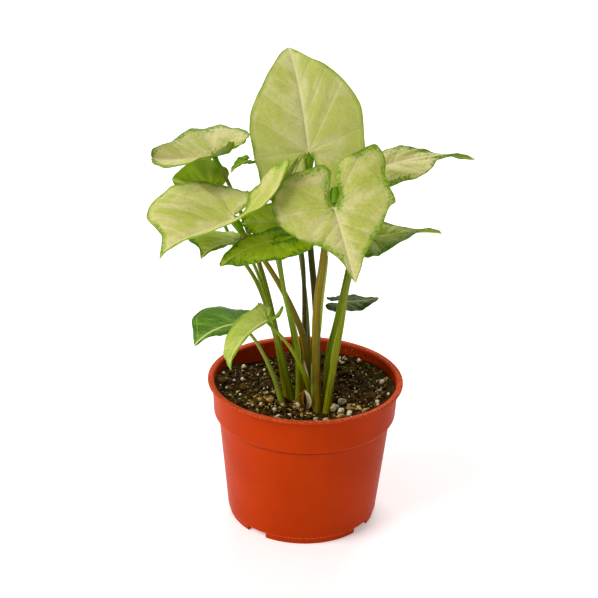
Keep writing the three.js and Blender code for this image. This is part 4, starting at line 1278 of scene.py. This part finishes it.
# %% Placed bits
PLACED = {                       # x, y, length, width and thickness in mm
    "gravel": [
        (20.7, -13, 5.6, 4.2, 3.6), (15.8, -21.5, 6.2, 5.0, 4.4), (20, -28, 3.6, 2.8, 2.4),
        (24.5, -31, 3.4, 2.8, 2.4), (11.5, -41, 3.2, 2.6, 2.2), (6.3, -37.5, 3.0, 2.4, 2.0),
    ],
    "perlite_lumps": [
        (24, 37.5, 2.6, 2.0, 1.8), (22.6, 39.6, 2.4, 1.6, 1.6), (20.2, 38.8, 2.2, 1.6, 1.6),
        (20, 36.6, 2.4, 1.6, 1.6), (22, 35.4, 2.6, 1.6, 1.6), (31.5, 35, 3.2, 2.6, 2.4),
        (27, 24, 1.8, 1.5, 1.4), (44, 9.5, 4.2, 3.4, 3.0), (29, 5.5, 2.4, 2.0, 1.8),
        (40, -19.5, 2.8, 2.4, 2.2), (40, -25, 1.8, 1.6, 1.4), (46.5, -11, 2.0, 1.7, 1.5),
        (42.7, 0.8, 1.8, 1.4, 1.4), (-36.5, 27.7, 2.8, 2.4, 2.4), (-36.1, 9.9, 2.6, 2.4, 2.2),
        (-40.5, 5.6, 1.9, 1.6, 1.5), (-24.5, 31.6, 1.9, 1.7, 1.5), (-47, 11.6, 2.0, 1.7, 1.5),
        (-26.4, 15, 1.6, 1.4, 1.3), (-11.3, 10, 3.2, 1.4, 1.0), (-25, -5.2, 1.8, 1.6, 1.4),
        (-36, -19.5, 2.2, 1.8, 1.6), (-31, -24.9, 2.0, 1.7, 1.5), (-16.4, -26.1, 3.6, 3.0, 2.6),
        (-23.9, -20.8, 2.6, 2.0, 1.8), (-8.1, -32.7, 3.0, 2.4, 2.2), (-21.3, -4, 1.8, 1.5, 1.4),
        (-33.3, 20.2, 1.5, 1.3, 1.2), (-36.2, -9.2, 1.7, 1.5, 1.3), (-14, -40, 2.8, 2.2, 1.8),
    ],
    "wood_chips": [
        (46.5, 12, 3.8, 2.6, 1.4), (25.7, -25, 7.2, 2.4, 1.9), (28.5, -19, 6.4, 2.2, 1.7),
        (24.5, -22.5, 6.0, 2.2, 1.6), (33, -29.5, 5.4, 2.6, 1.8), (30, -24, 5.8, 2.0, 1.5),
        (19.5, -33, 4.6, 2.4, 1.8), (-41.4, -16.2, 2.6, 2.2, 1.8), (-18.7, -12, 4.8, 2.8, 2.1),
        (-17.8, -2.8, 3.6, 2.2, 1.7), (-24.8, -11.8, 3.2, 2.2, 1.6), (-19.4, -17, 4.8, 3.6, 2.8),
        (-12, -19, 3.4, 2.4, 1.8), (-9, -25, 3.8, 2.6, 1.8), (-1.5, -30, 3.4, 2.0, 1.6),
        (34, -14, 3.8, 2.0, 1.4), (37, -6, 3.0, 1.8, 1.3), (-1.5, -24, 3.2, 2.2, 1.8),
        (1.6, -24.6, 2.8, 2.0, 1.6), (-5, -22.5, 3.4, 2.2, 1.6), (3.4, -27, 2.4, 1.8, 1.4),
    ],
}
wall, tufts, litter = [], [], []
for _ in range(190):
    angle, z = rng.uniform(0, 2 * math.pi), 72 + 9 * rng.random() ** 1.6
    side = inside_radius(z) - 0.25
    size = rng.uniform(0.35, 1.1)
    wall.append([side * math.cos(angle), side * math.sin(angle), z, size, size, size * 0.8])
for x, y in ((26, 42), (29, 31), (26, 26.5), (37, 28), (22, 44), (32, 37), (9, 46), (45, 6)):
    for _ in range(16):
        a, b = rng.normal((x, y), 1.7)
        if math.hypot(a, b) < BED_RADIUS:
            tufts.append(placed(a, b, *rng.uniform((0.7, 0.5, 0.6), (2.0, 1.1, 1.8)), 0.1))
for _ in range(90):
    a, b = rng.normal((-18, -14), (9, 8))
    if np.hypot(STEM_FEET[:, 0] - a, STEM_FEET[:, 1] - b).min() > 3.2 and math.hypot(a, b) < 46:
        litter.append(placed(a, b, *rng.uniform((0.9, 0.7, 0.6), (2.6, 1.6, 1.2))))
for kind, *look in (("gravel", stone_skin, 3, 0.42, 1.3),
                    ("perlite_lumps", perlite_skin, 2, 0.4),
                    ("wood_chips", chip_skin, 2, 0.45)):
    scatter(kind, [placed(*row) for row in PLACED[kind]], *look)
scatter("bark_litter", litter, chip_skin, 1, 0.5)
scatter("moss_tufts", tufts, moss_skin, 1, 0.5)
WALL_CRUMBS = 120           # so many of the bits on the wall are crumbs, and the others dust
scatter("wall_crumbs", wall[:WALL_CRUMBS], crumb_skin, 1, 0.5)
scatter("wall_dust", wall[WALL_CRUMBS:], fibre_skin, 1, 0.5)
print("placed bits:", sum(map(len, PLACED.values())), "and strewn:", len(wall + tufts + litter))

# %% [markdown]
# ## Nursery pot
#
# The pot is thin polypropylene from an injection mould: a tapered body, a wider band on
# top so that pots nest without jamming, a rolled lip and a foot ring with water notches. A
# lathe turns its profile round the axis, with every corner rounded by a few tenths of a
# millimetre, because a moulded edge always catches a thin line of light. The notches and the
# drain holes are cut out with a Boolean, which is how they read in the solid too.

# %% Pot profile
POT_PROFILE = [                  # radius, height and corner radius, in mm
    (0, 3.8, 0), (39.6, 3.8, 0.6), (39.6, 0, 0.4), (42.2, 0, 0.5), (42.5, 3.3, 0.15),
    (43.2, 3.8, 0.35), (48.7, 60.7, 0.6), (50.2, 61.9, 0.6), (51.5, 63.3, 0.9), (52.4, 81.6, 0.35),
    (54.6, 81.6, 0.6), (55, 82.1, 0.35), (55, 83.0, 0.35), (54.6, 83.5, 0.4), (52.2, 83.4, 0.4),
    (51.2, 82.3, 0.5), (50.35, 62.7, 0.8), (47.3, 59.7, 0.8), (42.1, 5.3, 0.8), (0, 5.3, 0),
]


def rounded(profile, steps=4):
    """The profile, with each corner replaced by a small curve."""
    path = [np.array(profile[0][:2], float)]
    for before, (radius, z, corner), after in zip(profile, profile[1:], profile[2:]):
        here = np.array([radius, z], float)
        ends = [here + unit(np.array(other[:2]) - here) * corner for other in (before, after)]
        for t in np.linspace(0, 1, steps + 1):
            path.append((1 - t) ** 2 * ends[0] + 2 * t * (1 - t) * here + t ** 2 * ends[1])
    return np.array(path + [np.array(profile[-1][:2], float)])


def lathe(path, segments):
    """Points and faces of a closed body turned about the axis. The path starts and ends on it."""
    angle = np.linspace(0, 2 * np.pi, segments, endpoint=False)
    rows = path[1:-1]
    points = np.stack([np.outer(rows[:, 0], np.cos(angle)), np.outer(rows[:, 0], np.sin(angle)),
                       np.outer(rows[:, 1], np.ones(segments))], -1).reshape(-1, 3)
    ends = [[0, 0, path[0][1]], [0, 0, path[-1][1]]]
    return np.concatenate([points, ends]), closed_tube(len(rows), segments)


print("pot profile:", len(rounded(POT_PROFILE)), "points")

# %% [markdown]
# The plastic is coloured right through, a brick red. The mould was polished on the outside, so
# the wall has a soft gloss with faint waves. Handling leaves fine dull scratches. Pale marks at
# the lip and at the edge of the foot are partly scuffs where the plastic is scraped, and partly
# a painted highlight along those edges. The crease under the band is darkened by painted shade.

# %% Moulded polypropylene
def darker_inside(tree, millimetres, height, color):
    """Inside, above the soil, the red is darker, in blotches."""
    # The wall leans out, so the reach less 0.0413 of the height tells its two sides apart.
    level = put(tree, "VectorMath", {0: millimetres, 1: (1, 1, 0)}, operation="MULTIPLY").outputs[0]
    reach = put(tree, "VectorMath", {0: level}, operation="LENGTH").outputs["Value"]
    upright = maths(tree, "MULTIPLY_ADD", height, -0.0413, reach)
    within = ramp(tree, upright, 48.0, 48.4, 0.4, 0.0)
    within = maths(tree, "MULTIPLY", within, maths(tree, "GREATER_THAN", height, 63.6))
    blotches = ramp(tree, mottle(tree, millimetres, 0.25, 5.0, 0.7), 0.3, 0.7, 0.55, 1.0)
    return mix(tree, maths(tree, "MULTIPLY", blotches, within), color, "#7E2206")


def shade_highlights_and_scuffs(tree, millimetres, height, color):
    """Painted shade in the crease under the band, and marks of 0.6 mm at the lip and the foot that
    are partly scuffs and partly a painted highlight.
    """
    # Painted shade: the crease under the band is darkened where shade falls.
    crease_shade = maths(tree, "MULTIPLY", maths(tree, "COMPARE", height, 61.3, 0.8), 0.6)
    color = mix(tree, crease_shade, color, "#5E1802")
    # Pale marks at the foot edge and the lip: partly scuffs, partly a painted highlight.
    scuff = ramp(tree, mottle(tree, millimetres, 1.6, 3.0), 0.48, 0.62)
    foot_edge = maths(tree, "COMPARE", height, 4.0, 0.35)
    lip = ramp(tree, height, 82.0, 83.3, 0.0, 0.7)
    scuffs_and_highlights = maths(tree, "MULTIPLY", scuff, maths(tree, "MAXIMUM", foot_edge, lip))
    return mix(tree, scuffs_and_highlights, color, "#D8744C")


def pot_skin(name):
    material, tree = new_material(name)
    millimetres = in_millimetres(tree)
    height = put(tree, "SeparateXYZ", {"Vector": millimetres}).outputs["Z"]
    cloud = mottle(tree, millimetres, 0.03, 3.0)
    color = mix(tree, ramp(tree, cloud, 0.35, 0.65), "#AB3001", "#B53602")
    color = darker_inside(tree, millimetres, height, color)
    color = shade_highlights_and_scuffs(tree, millimetres, height, color)
    scratch = put(tree, "Mapping", {"Vector": millimetres, "Scale": (0.25, 0.25, 1.4)}).outputs[0]
    gloss = ramp(tree, mottle(tree, scratch, 1.0, 5.0), 0.3, 0.7, 0.34, 0.5)
    wave = mottle(tree, millimetres, 0.12, 1.0)
    return surface(material, wave, 0.001, 0.15, Base_Color=color, Roughness=gloss, IOR=1.49,
                   Specular_IOR_Level=0.03)


pot_plastic = pot_skin("moulded_polypropylene")
points, faces = lathe(rounded(POT_PROFILE), 144)
pot = make_object("nursery_pot", points, faces, [pot_plastic], "pot_plastic", ["pot"])
print("pot faces:", len(pot.data.polygons))

# %% Notches and drain holes
def cutter(kind, size, place, degrees):
    """A box or a rod, in mm, pushed out along X and then turned about the pot's axis."""
    if kind == "box":
        bpy.ops.mesh.primitive_cube_add(size=1)
    else:
        bpy.ops.mesh.primitive_cylinder_add(vertices=32, radius=0.5, depth=1)
    tool = bpy.context.object
    turn = Matrix.Rotation(math.radians(degrees), 4, "Z")
    stretch = Matrix.Diagonal([*(Vector(size) * MM), 1])
    tool.data.transform(turn @ Matrix.Translation(Vector(place) * MM) @ stretch)
    return tool


TURNS = (-126, -36, 54, 144)
tools = [cutter("box", (12, 12.5, 6.6), (42.2, 0, 0), turn) for turn in TURNS]
tools += [cutter("rod", (8, 8, 12), (29, 0, FOOT_HEIGHT), turn) for turn in TURNS]
for tool in tools:
    cut = pot.modifiers.new("cut", "BOOLEAN")
    cut.operation = "DIFFERENCE"
    cut.solver = "EXACT"
    cut.object = tool
bpy.context.view_layer.update()
whole = pot.evaluated_get(bpy.context.evaluated_depsgraph_get())
carved = bpy.data.meshes.new_from_object(whole)
pot.modifiers.clear()
pot.data = carved
pot.data.shade_smooth()
pot.data.set_sharp_from_angle(angle=math.radians(45))
for tool in tools:
    bpy.data.objects.remove(tool)
print("pot faces with notches:", len(pot.data.polygons))

# %% [markdown]
# ## Both sizes
#
# The dressed plant is meant to stay as large as the solid one, so both boxes are printed side by
# side.

# %% Sizes and finish
boxes = {"cad": [list(corner) for corner in cad_box],
         "visual": [list(corner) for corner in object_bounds()]}
print({name: [[round(v * 1000, 1) for v in corner] for corner in box]
       for name, box in boxes.items()})
